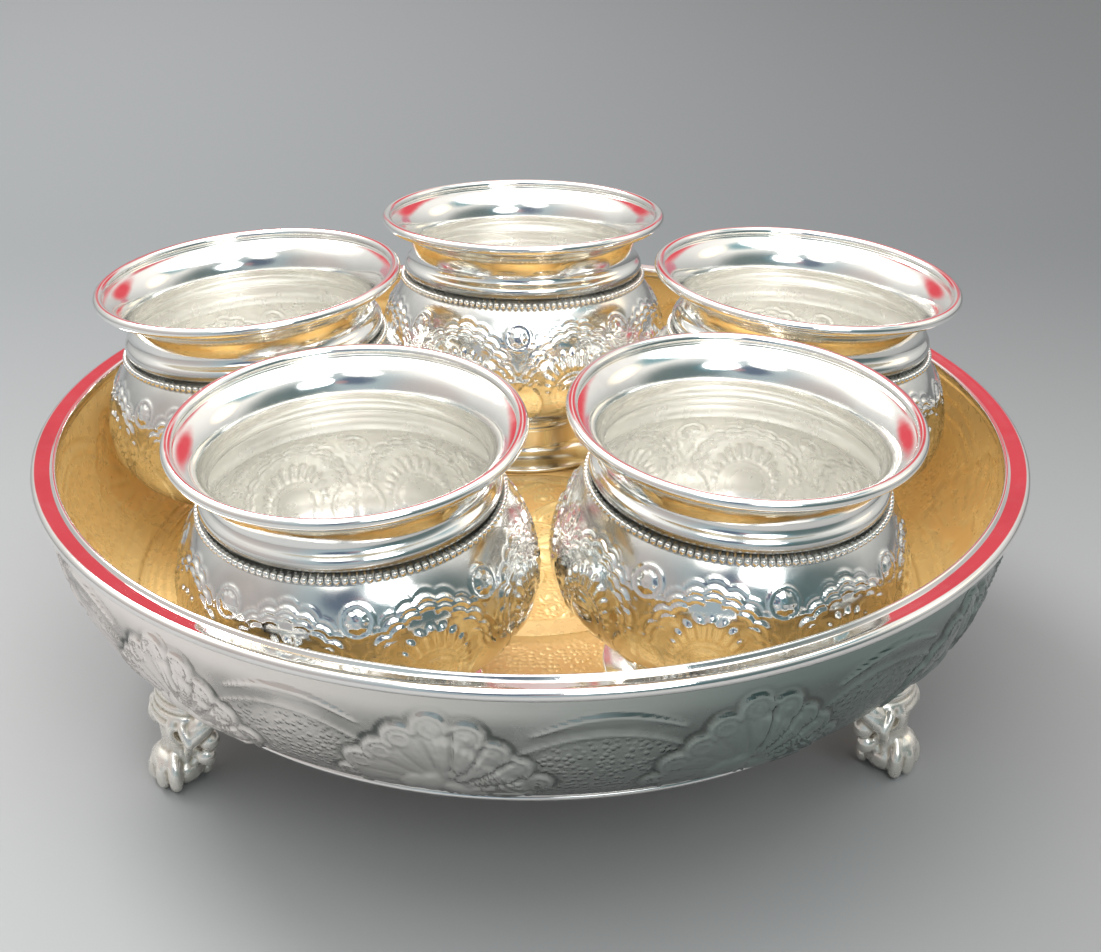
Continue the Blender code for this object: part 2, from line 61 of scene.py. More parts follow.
# Sizes that the pieces share, as in the CAD model: degrees from +X, degrees and metres.
BACK_ANGLE = 90.0
RING_TURN = 1.9
FLOOR_SLOPE = 4.67
CLEARANCE = 0.0003
BOWL_SEAT_CIRCLE = 0.0632232
FOOT_CIRCLE = 0.0751232

Colour = tuple[float, float, float]
Outline = list[tuple[float, float]]


class BowlPlace(Enum):
    """Where a bowl stands, away from the even circle that five bowls would make."""

    BACK = ("back", 0, -1.0, -0.0007, 42.0)
    BACK_LEFT = ("back_left", 1, -2.7, 0.0, 20.0)
    FRONT_LEFT = ("front_left", 2, 2.7, 0.0008, 36.0)
    FRONT_RIGHT = ("front_right", 3, 0.6, -0.0012, 17.0)
    BACK_RIGHT = ("back_right", 4, 0.0, 0.0, 5.0)

    def __init__(self, label: str, order: int, turn: float, reach: float, spin: float) -> None:
        """Keeps the five facts of a place.

        Args:
            label: The name used by the plate's nodes and bodies.
            order: Counted anticlockwise from the back.
            turn: Degrees away from its even place.
            reach: Metres outside the even circle.
            spin: Degrees that the bowl is turned about its own axis.
        """
        self.label = label
        self.order = order
        self.turn = turn
        self.reach = reach
        self.spin = spin


class FootPlace(Enum):
    """Where a cast foot is fixed, counted anticlockwise from the back."""

    BACK = ("back", 0)
    FRONT_LEFT = ("front_left", 1)
    FRONT_RIGHT = ("front_right", 2)

    def __init__(self, label: str, order: int) -> None:
        """Keeps the name and the order of a place.

        Args:
            label: The name used by the plate's nodes.
            order: Counted anticlockwise from the back.
        """
        self.label = label
        self.order = order


def arc(centre: tuple[float, float], sizes: tuple[float, float],
        start: float, end: float, steps: int) -> Outline:
    """Points along part of an ellipse.

    Args:
        centre: Its middle.
        sizes: Its two half sizes.
        start: First angle in degrees, from the first axis towards the second.
        end: Last angle in degrees.
        steps: Number of stretches.

    Returns:
        The points, ends included.
    """
    angles = np.radians(np.linspace(start, end, steps + 1))
    return [(centre[0] + sizes[0] * math.cos(a), centre[1] + sizes[1] * math.sin(a)) for a in angles]


def column_angles(columns: int, shift: float = 0.0) -> np.ndarray:
    """Angles of even columns round an axis, moved by a share of a column."""
    return (np.arange(columns) + shift) / columns * TAU


def even_points(points: Outline, count: int) -> np.ndarray:
    """Points at even distances along a line.

    Args:
        points: The line's corners.
        count: Number of points wanted.

    Returns:
        An array of count rows, (radius, height).
    """
    line = np.array(points, dtype=float)
    steps = np.hypot(*np.diff(line, axis=0).T)
    along = np.concatenate([[0.0], np.cumsum(steps)])
    wanted = np.linspace(0.0, along[-1], count)
    return np.column_stack([np.interp(wanted, along, line[:, 0]), np.interp(wanted, along, line[:, 1])])


def line_normals(line: np.ndarray) -> np.ndarray:
    """Unit normals of a profile, to the right of its travel when it runs down.

    Args:
        line: Rows of (radius, height).

    Returns:
        Rows of (radius, height) of unit length.
    """
    run = np.gradient(line, axis=0)
    normals = np.column_stack([-run[:, 1], run[:, 0]])
    return normals / np.maximum(np.hypot(normals[:, 0], normals[:, 1]), 1e-12)[:, None]


def arc_lengths(line: np.ndarray) -> np.ndarray:
    """Distance along a profile at each of its points."""
    return np.concatenate([[0.0], np.cumsum(np.hypot(*np.diff(line, axis=0).T))])


def ridge(distance: np.ndarray, half_width: float) -> np.ndarray:
    """Rounded line of height 1 where the distance is nought, and 0 beyond its half width."""
    return np.clip(1.0 - (distance / half_width) ** 2, 0.0, None) ** 1.5


def soft_step(value: np.ndarray, low: float, high: float) -> np.ndarray:
    """Smooth rise from 0 at low to 1 at high."""
    t = np.clip((value - low) / (high - low), 0.0, 1.0)
    return t * t * (3.0 - 2.0 * t)


def mesh_of(name: str, corners: np.ndarray, loops: np.ndarray, sizes: np.ndarray) -> bpy.types.Mesh:
    """Mesh made from arrays.

    Args:
        name: The mesh's name.
        corners: Rows of (x, y, z).
        loops: Corner numbers, face after face.
        sizes: Number of corners of each face.

    Returns:
        The smooth shaded mesh.
    """
    mesh = bpy.data.meshes.new(name)
    mesh.vertices.add(len(corners))
    mesh.vertices.foreach_set("co", corners.astype(np.float32).reshape(-1))
    mesh.loops.add(len(loops))
    mesh.loops.foreach_set("vertex_index", loops.astype(np.int32))
    mesh.polygons.add(len(sizes))
    starts = np.concatenate([[0], np.cumsum(sizes)[:-1]])
    mesh.polygons.foreach_set("loop_start", starts.astype(np.int32))
    mesh.update(calc_edges=True)
    mesh.validate()
    mesh.shade_smooth()
    return mesh


def grid_mesh(name: str, places: np.ndarray, ring: bool, poles: bool) -> bpy.types.Mesh:
    """Mesh of a grid that closes round its columns.

    Args:
        name: The mesh's name.
        places: Array of rows, columns and (x, y, z).
        ring: True where the last row joins the first.
        poles: True where the first and last rows are each drawn together in a point.

    Returns:
        The closed mesh, smooth shaded.
    """
    rows, columns, _ = places.shape
    corners = places.reshape(-1, 3)
    index = np.arange(rows * columns).reshape(rows, columns)
    after = np.roll(index, -1, axis=1)
    last = rows if ring else rows - 1
    below = np.roll(index, -1, axis=0)
    below_after = np.roll(after, -1, axis=0)
    quads = np.stack([index[:last], below[:last], below_after[:last], after[:last]], axis=-1).reshape(-1, 4)
    loops = quads.reshape(-1)
    sizes = np.full(len(quads), 4)
    if poles:
        ends = np.stack([places[0].mean(axis=0), places[-1].mean(axis=0)])
        first, final = rows * columns, rows * columns + 1
        corners = np.concatenate([corners, ends])
        top = np.stack([np.full(columns, first), index[0], after[0]], axis=-1)
        bottom = np.stack([np.full(columns, final), after[-1], index[-1]], axis=-1)
        loops = np.concatenate([loops, top.reshape(-1), bottom.reshape(-1)])
        sizes = np.concatenate([sizes, np.full(2 * columns, 3)])
    return mesh_of(name, corners, loops, sizes)


@dataclass
class Lumps:
    """Rounded lumps gathered into one mesh.

    Attributes:
        bands: Bands from pole to pole of one lump.
        columns: Columns round one lump.
        power: Below 1 the lumps get squarer.
    """

    bands: int = 10
    columns: int = 16
    power: float = 1.0
    parts: list[np.ndarray] = field(default_factory=list)

    def ball(self) -> np.ndarray:
        """Corners of a unit lump, with its poles last."""
        down = np.arange(1, self.bands) / self.bands * math.pi
        turn = column_angles(self.columns)
        x = np.sin(down)[:, None] * np.cos(turn)
        y = np.sin(down)[:, None] * np.sin(turn)
        z = np.cos(down)[:, None] + np.zeros(self.columns)
        corners = np.concatenate([np.stack([x, y, z], axis=-1).reshape(-1, 3), [(0, 0, 1), (0, 0, -1)]])
        return np.sign(corners) * np.abs(corners) ** self.power

    def add(self, centre: Sequence[float], sizes: Sequence[float], turn: Matrix | None = None) -> None:
        """Adds a lump.

        Args:
            centre: Its middle.
            sizes: Its three half sizes.
            turn: How it is turned, if it is.
        """
        corners = self.ball() * np.array(sizes)
        if turn is not None:
            corners = corners @ np.array(turn.to_3x3()).T
        self.parts.append(corners + np.array(centre))

    def chain(self, stations: Sequence[Sequence[float]], steps: int = 7) -> None:
        """Adds a smooth chain of lumps through stations.

        Args:
            stations: Rows of (x, y, z) and one or three half sizes.
            steps: Lumps between two stations.
        """
        rows = [np.array(row) for row in stations]
        for index in range(len(rows) - 1):
            p0, p1, p2 = rows[max(index - 1, 0)], rows[index], rows[index + 1]
            p3 = rows[min(index + 2, len(rows) - 1)]
            for step in range(steps + (index == len(rows) - 2)):
                t = step / steps
                here = 0.5 * (2 * p1 + (p2 - p0) * t + (2 * p0 - 5 * p1 + 4 * p2 - p3) * t ** 2
                              + (3 * p1 - p0 - 3 * p2 + p3) * t ** 3)
                sizes = here[3:] if len(here) == 6 else np.repeat(here[3], 3)
                self.add(here[:3], sizes)

    def mesh(self, name: str) -> bpy.types.Mesh:
        """Mesh of all lumps so far."""
        rows, columns = self.bands - 1, self.columns
        index = np.arange(rows * columns).reshape(rows, columns)
        after = np.roll(index, -1, axis=1)
        quads = np.stack([index[:-1], index[1:], after[1:], after[:-1]], axis=-1).reshape(-1)
        top = np.stack([np.full(columns, rows * columns), index[0], after[0]], axis=-1).reshape(-1)
        bottom = np.stack([np.full(columns, rows * columns + 1), after[-1], index[-1]], axis=-1).reshape(-1)
        one = np.concatenate([quads, top, bottom])
        count = len(self.parts)
        shift = np.arange(count)[:, None] * (rows * columns + 2)
        loops = (one[None, :] + shift).reshape(-1)
        sizes = np.tile(np.concatenate([np.full((rows - 1) * columns, 4), np.full(2 * columns, 3)]), count)
        return mesh_of(name, np.concatenate(self.parts), loops, sizes)


def turned_grid(line: np.ndarray, push: np.ndarray, height: np.ndarray, angles: np.ndarray) -> np.ndarray:
    """Places of a turned profile whose points are pushed by a relief.

    Args:
        line: Profile rows of (radius, height).
        push: Unit direction of the push for each row.
        height: Relief for each row and column.
        angles: Angle of each column.

    Returns:
        Array of rows, columns and (x, y, z).
    """
    radius = line[:, 0][:, None] + push[:, 0][:, None] * height
    up = line[:, 1][:, None] + push[:, 1][:, None] * height
    return np.stack([radius * np.cos(angles), radius * np.sin(angles), up], axis=-1)


def spun_mesh(name: str, line: np.ndarray, columns: int, ring: bool = True,
              sharp: float | None = None) -> bpy.types.Mesh:
    """Mesh of a plain turned profile.

    Args:
        name: The mesh's name.
        line: Profile rows of (radius, height).
        columns: Columns round it.
        ring: True where the profile closes on itself; else its ends are drawn to the axis.
        sharp: Degrees from which an edge stays sharp, if any does.

    Returns:
        The closed mesh.
    """
    push = np.zeros((len(line), 2))
    still = np.zeros((len(line), columns))
    mesh = grid_mesh(name, turned_grid(line, push, still, column_angles(columns)), ring, not ring)
    if sharp is not None:
        mesh.set_sharp_from_angle(angle=math.radians(sharp))
    return mesh


def add_mask(mesh: bpy.types.Mesh, name: str, values: np.ndarray) -> None:
    """Stores one number for each point, for a material to read.

    Args:
        mesh: The mesh.
        name: The attribute's name.
        values: One number for each point; points that are left over get the last one.
    """
    flat = values.astype(np.float32).reshape(-1)
    missing = len(mesh.vertices) - len(flat)
    flat = np.concatenate([flat, np.full(missing, flat[-1], dtype=np.float32)])
    layer = mesh.attributes.new(name, "FLOAT", "POINT")
    layer.data.foreach_set("value", flat)


def new_piece(name: str, mesh: bpy.types.Mesh, body: str, slot: str, *nodes: str) -> bpy.types.Object:
    """Object that rides on a body and stands for CAD nodes.

    Args:
        name: The piece's name.
        mesh: Its mesh, in the frame's own coordinates.
        body: The body that carries it.
        slot: The record's material slot for its finish; not used.
        *nodes: The nodes that it stands for, if any.

    Returns:
        The object.
    """
    piece = bpy.data.objects.new(name, mesh)
    bpy.context.scene.collection.objects.link(piece)
    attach(piece, body)
    if nodes:
        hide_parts(*nodes)
    LOG.info("%s: %d faces, rides on %s", name, len(mesh.polygons), body)
    return piece


class NodeBoard:
    """Shader nodes of one material or world, laid out as they are added."""

    def __init__(self, tree: bpy.types.NodeTree) -> None:
        """Starts on an existing node tree.

        Args:
            tree: The tree to add to.
        """
        self.tree = tree
        self.count = 0

    def add(self, kind: str, **settings: object) -> bpy.types.Node:
        """Adds a node.

        Args:
            kind: The node's type name.
            **settings: Properties to set on it.

        Returns:
            The node.
        """
        node = self.tree.nodes.new(kind)
        node.location = (-220 * (self.count % 8), -260 * (self.count // 8))
        self.count += 1
        for key, value in settings.items():
            setattr(node, key, value)
        return node

    def link(self, source: bpy.types.NodeSocket, target: bpy.types.NodeSocket) -> None:
        """Joins an output to an input."""
        self.tree.links.new(source, target)

    def maths(self, operation: str, first: object, second: object = None,
              clamp: bool = False) -> bpy.types.NodeSocket:
        """Adds a Math node.

        Args:
            operation: Its operation.
            first: A socket or a number.
            second: A socket, a number or nothing.
            clamp: True keeps the result between 0 and 1.

        Returns:
            Its output.
        """
        node = self.add("ShaderNodeMath", operation=operation, use_clamp=clamp)
        for place, value in enumerate((first, second)):
            if isinstance(value, bpy.types.NodeSocket):
                self.link(value, node.inputs[place])
            elif value is not None:
                node.inputs[place].default_value = value
        return node.outputs[0]

    def noise(self, where: bpy.types.NodeSocket, scale: float, detail: float = 3.0) -> bpy.types.NodeSocket:
        """Adds a noise texture and returns its value."""
        node = self.add("ShaderNodeTexNoise")
        node.inputs["Scale"].default_value = scale
        node.inputs["Detail"].default_value = detail
        self.link(where, node.inputs["Vector"])
        return node.outputs["Fac"]

    def remap(self, value: bpy.types.NodeSocket, source: tuple[float, float],
              target: tuple[float, float]) -> bpy.types.NodeSocket:
        """Maps a range onto another, smoothly and clamped.

        Args:
            value: The number to map.
            source: Its low and high end.
            target: What they become.

        Returns:
            The mapped number.
        """
        node = self.add("ShaderNodeMapRange", interpolation_type="SMOOTHSTEP")
        self.link(value, node.inputs["Value"])
        node.inputs["From Min"].default_value, node.inputs["From Max"].default_value = source
        node.inputs["To Min"].default_value, node.inputs["To Max"].default_value = target
        return node.outputs["Result"]

    def blend(self, share: bpy.types.NodeSocket, first: object, second: object) -> bpy.types.NodeSocket:
        """Mixes two colours.

        Args:
            share: How much of the second one there is.
            first: A colour or a socket.
            second: A colour or a socket.

        Returns:
            The mixed colour.
        """
        node = self.add("ShaderNodeMix", data_type="RGBA")
        self.link(share, node.inputs["Factor"])
        for name, value in (("A", first), ("B", second)):
            socket = [item for item in node.inputs if item.name == name and item.type == "RGBA"][0]
            if isinstance(value, bpy.types.NodeSocket):
                self.link(value, socket)
            else:
                socket.default_value = (*value, 1.0)
        return [item for item in node.outputs if item.type == "RGBA"][0]


@dataclass(frozen=True)
class MetalFinish:
    """Polished or cast white metal with tarnish in its hollows, and painted shade and painted reflection
    where a mesh asks for them.

    Attributes:
        name: The material's name.
        clean: Colour where it is rubbed bright.
        tarnish_and_shade: Colour in the hollows of the relief: tarnish, and painted shade where a mesh
            marks it.
        roughness: Roughness where it is bright.
        tarnish_roughness: Roughness in the hollows.
        hammer: Depth in metres of the soft unevenness of hand work.
        grain: Depth in metres of the fine punch marks, where the mesh asks for them.
        grain_size: Distance between two punch marks in metres.
        scratch: Depth in metres of the fine polishing lines.
        turned: Depth in metres of the level lines that turning left.
        painted_side_shade: Colour of painted shade, laid where the mesh asks for it on the side that is
            meant to get less light.
        satin: Colour where the mesh asks for a finely brushed skin.
        gold_reflection_and_warmth: Colour where the mesh asks for a warm tone: painted gold reflection on
            the bowls' necks, and a faint warmth inside them.
        metallic: Share of bare metal under the skin of fine scratches.
    """

    name: str
    clean: Colour
    tarnish_and_shade: Colour
    roughness: float
    tarnish_roughness: float
    hammer: float = 0.00004
    grain: float = 0.00022
    grain_size: float = 0.00135
    scratch: float = 0.000003
    turned: float = 0.0
    # Painted shade: a darker colour for the side of the dish that is meant to get less light.
    painted_side_shade: Colour = (0.34, 0.39, 0.37)
    satin: Colour = (0.93, 0.922, 0.883)
    gold_reflection_and_warmth: Colour = (0.97, 0.83, 0.58)
    metallic: float = 1.0

    def material(self) -> bpy.types.Material:
        """Builds the finish as a node material.

        Returns:
            The material.
        """
        material = bpy.data.materials.new(self.name)
        material.use_nodes = True
        board = NodeBoard(material.node_tree)
        shader = material.node_tree.nodes["Principled BSDF"]
        where = board.add("ShaderNodeTexCoord").outputs["Object"]
        hollow = board.add("ShaderNodeAttribute", attribute_name="hollow").outputs["Fac"]
        stippled = board.add("ShaderNodeAttribute", attribute_name="stippled").outputs["Fac"]

        cloud = board.noise(where, 90.0, 4.0)
        # Tarnish in the hollows, with painted shade where a mesh marks it so.
        tarnish_and_shade_share = board.maths("MULTIPLY", hollow, board.remap(cloud, (0.25, 0.7), (0.55, 1.15)), clamp=True)
        film = board.remap(board.noise(where, 34.0, 5.0), (0.48, 0.78), (0.0, 0.30))
        satin = board.add("ShaderNodeAttribute", attribute_name="satin").outputs["Fac"]
        # Warm tone from the mesh; on the bowls' necks it is a painted gold reflection.
        gold_reflection_and_warmth = board.add("ShaderNodeAttribute", attribute_name="gold_reflection_and_warmth").outputs["Fac"]
        metal = board.blend(gold_reflection_and_warmth, board.blend(satin, self.clean, self.satin), self.gold_reflection_and_warmth)
        # Painted shade, darker towards one side, where the mesh asks for it.
        right_side_shade = board.add("ShaderNodeAttribute", attribute_name="painted_side_shade").outputs["Fac"]
        metal = board.blend(right_side_shade, metal, self.painted_side_shade)
        bare = board.maths("SUBTRACT", self.metallic, board.maths("MULTIPLY", satin, 0.4), clamp=True)
        board.link(bare, shader.inputs["Metallic"])
        colour = board.blend(board.maths("MAXIMUM", tarnish_and_shade_share, film), metal, self.tarnish_and_shade)
        board.link(colour, shader.inputs["Base Color"])

        rub = board.remap(board.noise(where, 260.0, 3.0), (0.3, 0.75), (-0.03, 0.05))
        spread = board.maths("MULTIPLY", tarnish_and_shade_share, self.tarnish_roughness - self.roughness)
        rough = board.maths("ADD", board.maths("ADD", spread, self.roughness), rub)
        rough = board.maths("ADD", rough, board.maths("MULTIPLY", satin, 0.16))
        board.link(rough, shader.inputs["Roughness"])

        uneven = board.maths("MULTIPLY", board.noise(where, 160.0, 2.0), self.hammer)
        cells = board.add("ShaderNodeTexVoronoi", feature="F1")
        cells.inputs["Scale"].default_value = 1.0 / self.grain_size
        cells.inputs["Randomness"].default_value = 0.75
        board.link(where, cells.inputs["Vector"])
        dots = board.remap(cells.outputs["Distance"], (0.12, 0.62), (1.0, 0.0))
        punched = board.maths("MULTIPLY", board.maths("MULTIPLY", dots, stippled), self.grain)
        lines = board.maths("MULTIPLY", board.noise(where, 2600.0, 1.0), self.scratch)
        surface = board.maths("ADD", board.maths("ADD", uneven, punched), lines)
        if self.turned:
            level = board.add("ShaderNodeVectorMath", operation="MULTIPLY")
            board.link(where, level.inputs[0])
            level.inputs[1].default_value = (12.0, 12.0, 1100.0)
            streaks = board.maths("MULTIPLY", board.noise(level.outputs[0], 1.0, 2.0), self.turned)
            surface = board.maths("ADD", surface, streaks)
        bump = board.add("ShaderNodeBump")
        bump.inputs["Strength"].default_value = 1.0
        bump.inputs["Distance"].default_value = 1.0
        board.link(surface, bump.inputs["Height"])
        board.link(bump.outputs["Normal"], shader.inputs["Normal"])
        return material


@dataclass
class BowlRelief:
    """Arches, fans, rosettes and leaves pressed into a bowl's belly.

    Lengths are in millimetres: across is measured round the belly from the
    middle of an arch, and along is measured down the belly from the collar.

    Attributes:
        sectors: Number of arches round the bowl.
        half_width: Half an arch, across.
        centre: Middle of the fan, along.
        lobes: Lobes along an arch's border.
        span: Degrees from the first lobe to the last.
        lobe_radius: Radius of a lobe.
        dome: Radius of the plain dome in the fan.
        fan_inner: Where the ribs begin.
        ribs: Ribs in half a turn of the fan.
        rosette: Place of the rosette, along.
        petals: Its petals.
        height: Greatest height of the relief.
    """

    sectors: int = 8
    half_width: float = 14.1
    centre: float = 21.6
    lobes: int = 11
    span: float = 150.0
    lobe_radius: float = 2.5
    dome: float = 4.8
    fan_inner: float = 6.3
    ribs: int = 13
    rosette: float = 7.0
    petals: int = 8
    height: float = 0.55

    def border_depth(self, across: np.ndarray, down: np.ndarray, inset: float) -> np.ndarray:
        """How far inside the arch's lobed border, or a line parallel to it, each place is.

        Args:
            across: Places across.
            down: Places below the arch's middle.
            inset: Distance of the line from the border.

        Returns:
            The depth in millimetres, below nought outside.
        """
        turn = np.arctan2(across, -down)
        step = math.radians(self.span) / (self.lobes - 1)
        middle = np.round(turn / step) * step
        circle = 13.0 + 3.9 * np.cos(middle) ** 2 - self.lobe_radius - inset
        off = turn - middle
        radius = self.lobe_radius * (1.0 + 0.12 * (np.abs(middle) < step / 2))
        chord = np.clip(radius ** 2 - (circle * np.sin(off)) ** 2, 0.0, None)
        border = circle * np.cos(off) + np.sqrt(chord)
        return border - np.hypot(across, down)

    def fan(self, across: np.ndarray, down: np.ndarray) -> np.ndarray:
        """Dome in a ring, with ribs that radiate from it.

        Args:
            across: Places across.
            down: Places below the arch's middle.

        Returns:
            Height from 0 to about 1.3.
        """
        away = np.hypot(across, down)
        turn = np.arctan2(across, -down)
        dome = 1.2 * np.clip(1.0 - (away / self.dome) ** 2, 0.0, None) ** 0.5
        collar = 0.45 * ridge(away - self.dome - 0.6, 0.45)
        wave = np.abs(np.cos(turn * self.ribs)) ** 0.8
        outer = 6.6 + 3.9 * np.cos(turn) ** 2 + 1.2 * np.cos(turn * self.ribs) ** 2
        band = soft_step(away, self.fan_inner - 0.3, self.fan_inner + 0.8)
        band = band * (1.0 - soft_step(away - outer, -0.9, 0.2))
        band = band * (1.0 - soft_step(np.abs(turn), 1.5, 1.75))
        return np.maximum(np.maximum(dome, collar), 0.95 * wave * band)

    def flower(self, across: np.ndarray, along: np.ndarray) -> np.ndarray:
        """Rosette in a ring, between two arches.

        Args:
            across: Places across, from the rosette's middle.
            along: Places along.

        Returns:
            Height from 0 to about 1.
        """
        down = along - self.rosette
        away = np.hypot(across, down)
        turn = np.arctan2(across, down)
        reach = 2.35 * (0.70 + 0.30 * np.abs(np.cos(turn * self.petals / 2)) ** 0.7)
        petals = np.clip(1.0 - (away / reach) ** 2, 0.0, None) ** 0.45
        petals = petals * (0.72 + 0.28 * np.abs(np.cos(turn * self.petals / 2)))
        eye = 1.1 * np.clip(1.0 - (away / 0.7) ** 2, 0.0, None) ** 0.5
        ring = 0.6 * ridge(away - 3.15, 0.45)
        return np.maximum(np.maximum(petals, eye), ring)

    def leaves(self, across: np.ndarray, along: np.ndarray) -> np.ndarray:
        """Pointed leaves that hang from the tips between two fans.

        Args:
            across: Places across, from the tip's middle.
            along: Places along.

        Returns:
            Height from 0 to about 1.
        """
        t = (along - 17.0) / 17.0
        inside = np.clip(t, 0.0, 1.0)
        half = 5.6 * np.sin(math.pi * inside ** 0.8) + 0.02
        span = (t > 0) & (t < 1)
        blade = np.clip(1.0 - (np.abs(across) / half) ** 2, 0.0, None) ** 0.5 * span
        vein = ridge(across, 0.5) * ((t > 0.08) & (t < 0.92))
        side = 0.14 * np.abs(np.cos((along + np.abs(across)) * 1.7)) * blade
        edge = ridge(np.abs(across) - half, 0.5) * span
        return np.maximum(0.5 * blade * (1.0 - 0.5 * vein) + side, 0.75 * edge)

    def heights(self, columns: int, along: np.ndarray) -> np.ndarray:
        """Relief over one sector, in metres.

        Args:
            columns: Columns in the sector, with the middle of an arch between the middle two.
            along: Row places along the belly, in millimetres.

        Returns:
            Heights for rows and columns.
        """
        places = ((np.arange(columns) + 0.5) / columns * 2 - 1) * self.half_width
        across, along = np.meshgrid(places, along)
        down = along - self.centre
        depth = self.border_depth(across, down, 0.0)
        upper = 1.0 - soft_step(down, -3.5, -1.5)
        second = self.border_depth(across, down, 1.9)
        lines = np.maximum(0.95 * ridge(depth - 0.45, 0.6), 0.75 * ridge(second - 0.2, 0.5))
        lines = np.maximum(lines, 0.35 * ridge(depth + 1.4, 0.45)) * upper
        swell = 0.14 * soft_step(depth, 0.0, 2.0) * upper
        inside = np.maximum(lines, self.fan(across, down)) + swell
        beside = self.half_width - np.abs(across)
        outside = 1.0 - soft_step(depth, -0.9, -0.1)
        flower = self.flower(beside, along) * outside
        clear = soft_step(np.hypot(across, down), self.dome + 1.2, self.dome + 1.8)
        leaves = self.leaves(beside, along) * clear
        lappets = 0.55 * np.abs(np.cos(across / self.half_width * math.pi * 1.5)) ** 0.6
        lappets = lappets * soft_step(along, 32.6, 33.4) * (1.0 - soft_step(along, 36.6, 37.4))
        foot_line = 0.7 * ridge(along - 38.4, 0.6)
        total = np.maximum(np.maximum(inside, flower), np.maximum(leaves, lappets))
        total = np.maximum(total, foot_line) * soft_step(along, 0.5, 1.3)
        total = total * (1.0 - soft_step(along, 39.0, 40.0))
        return total * self.height * MM


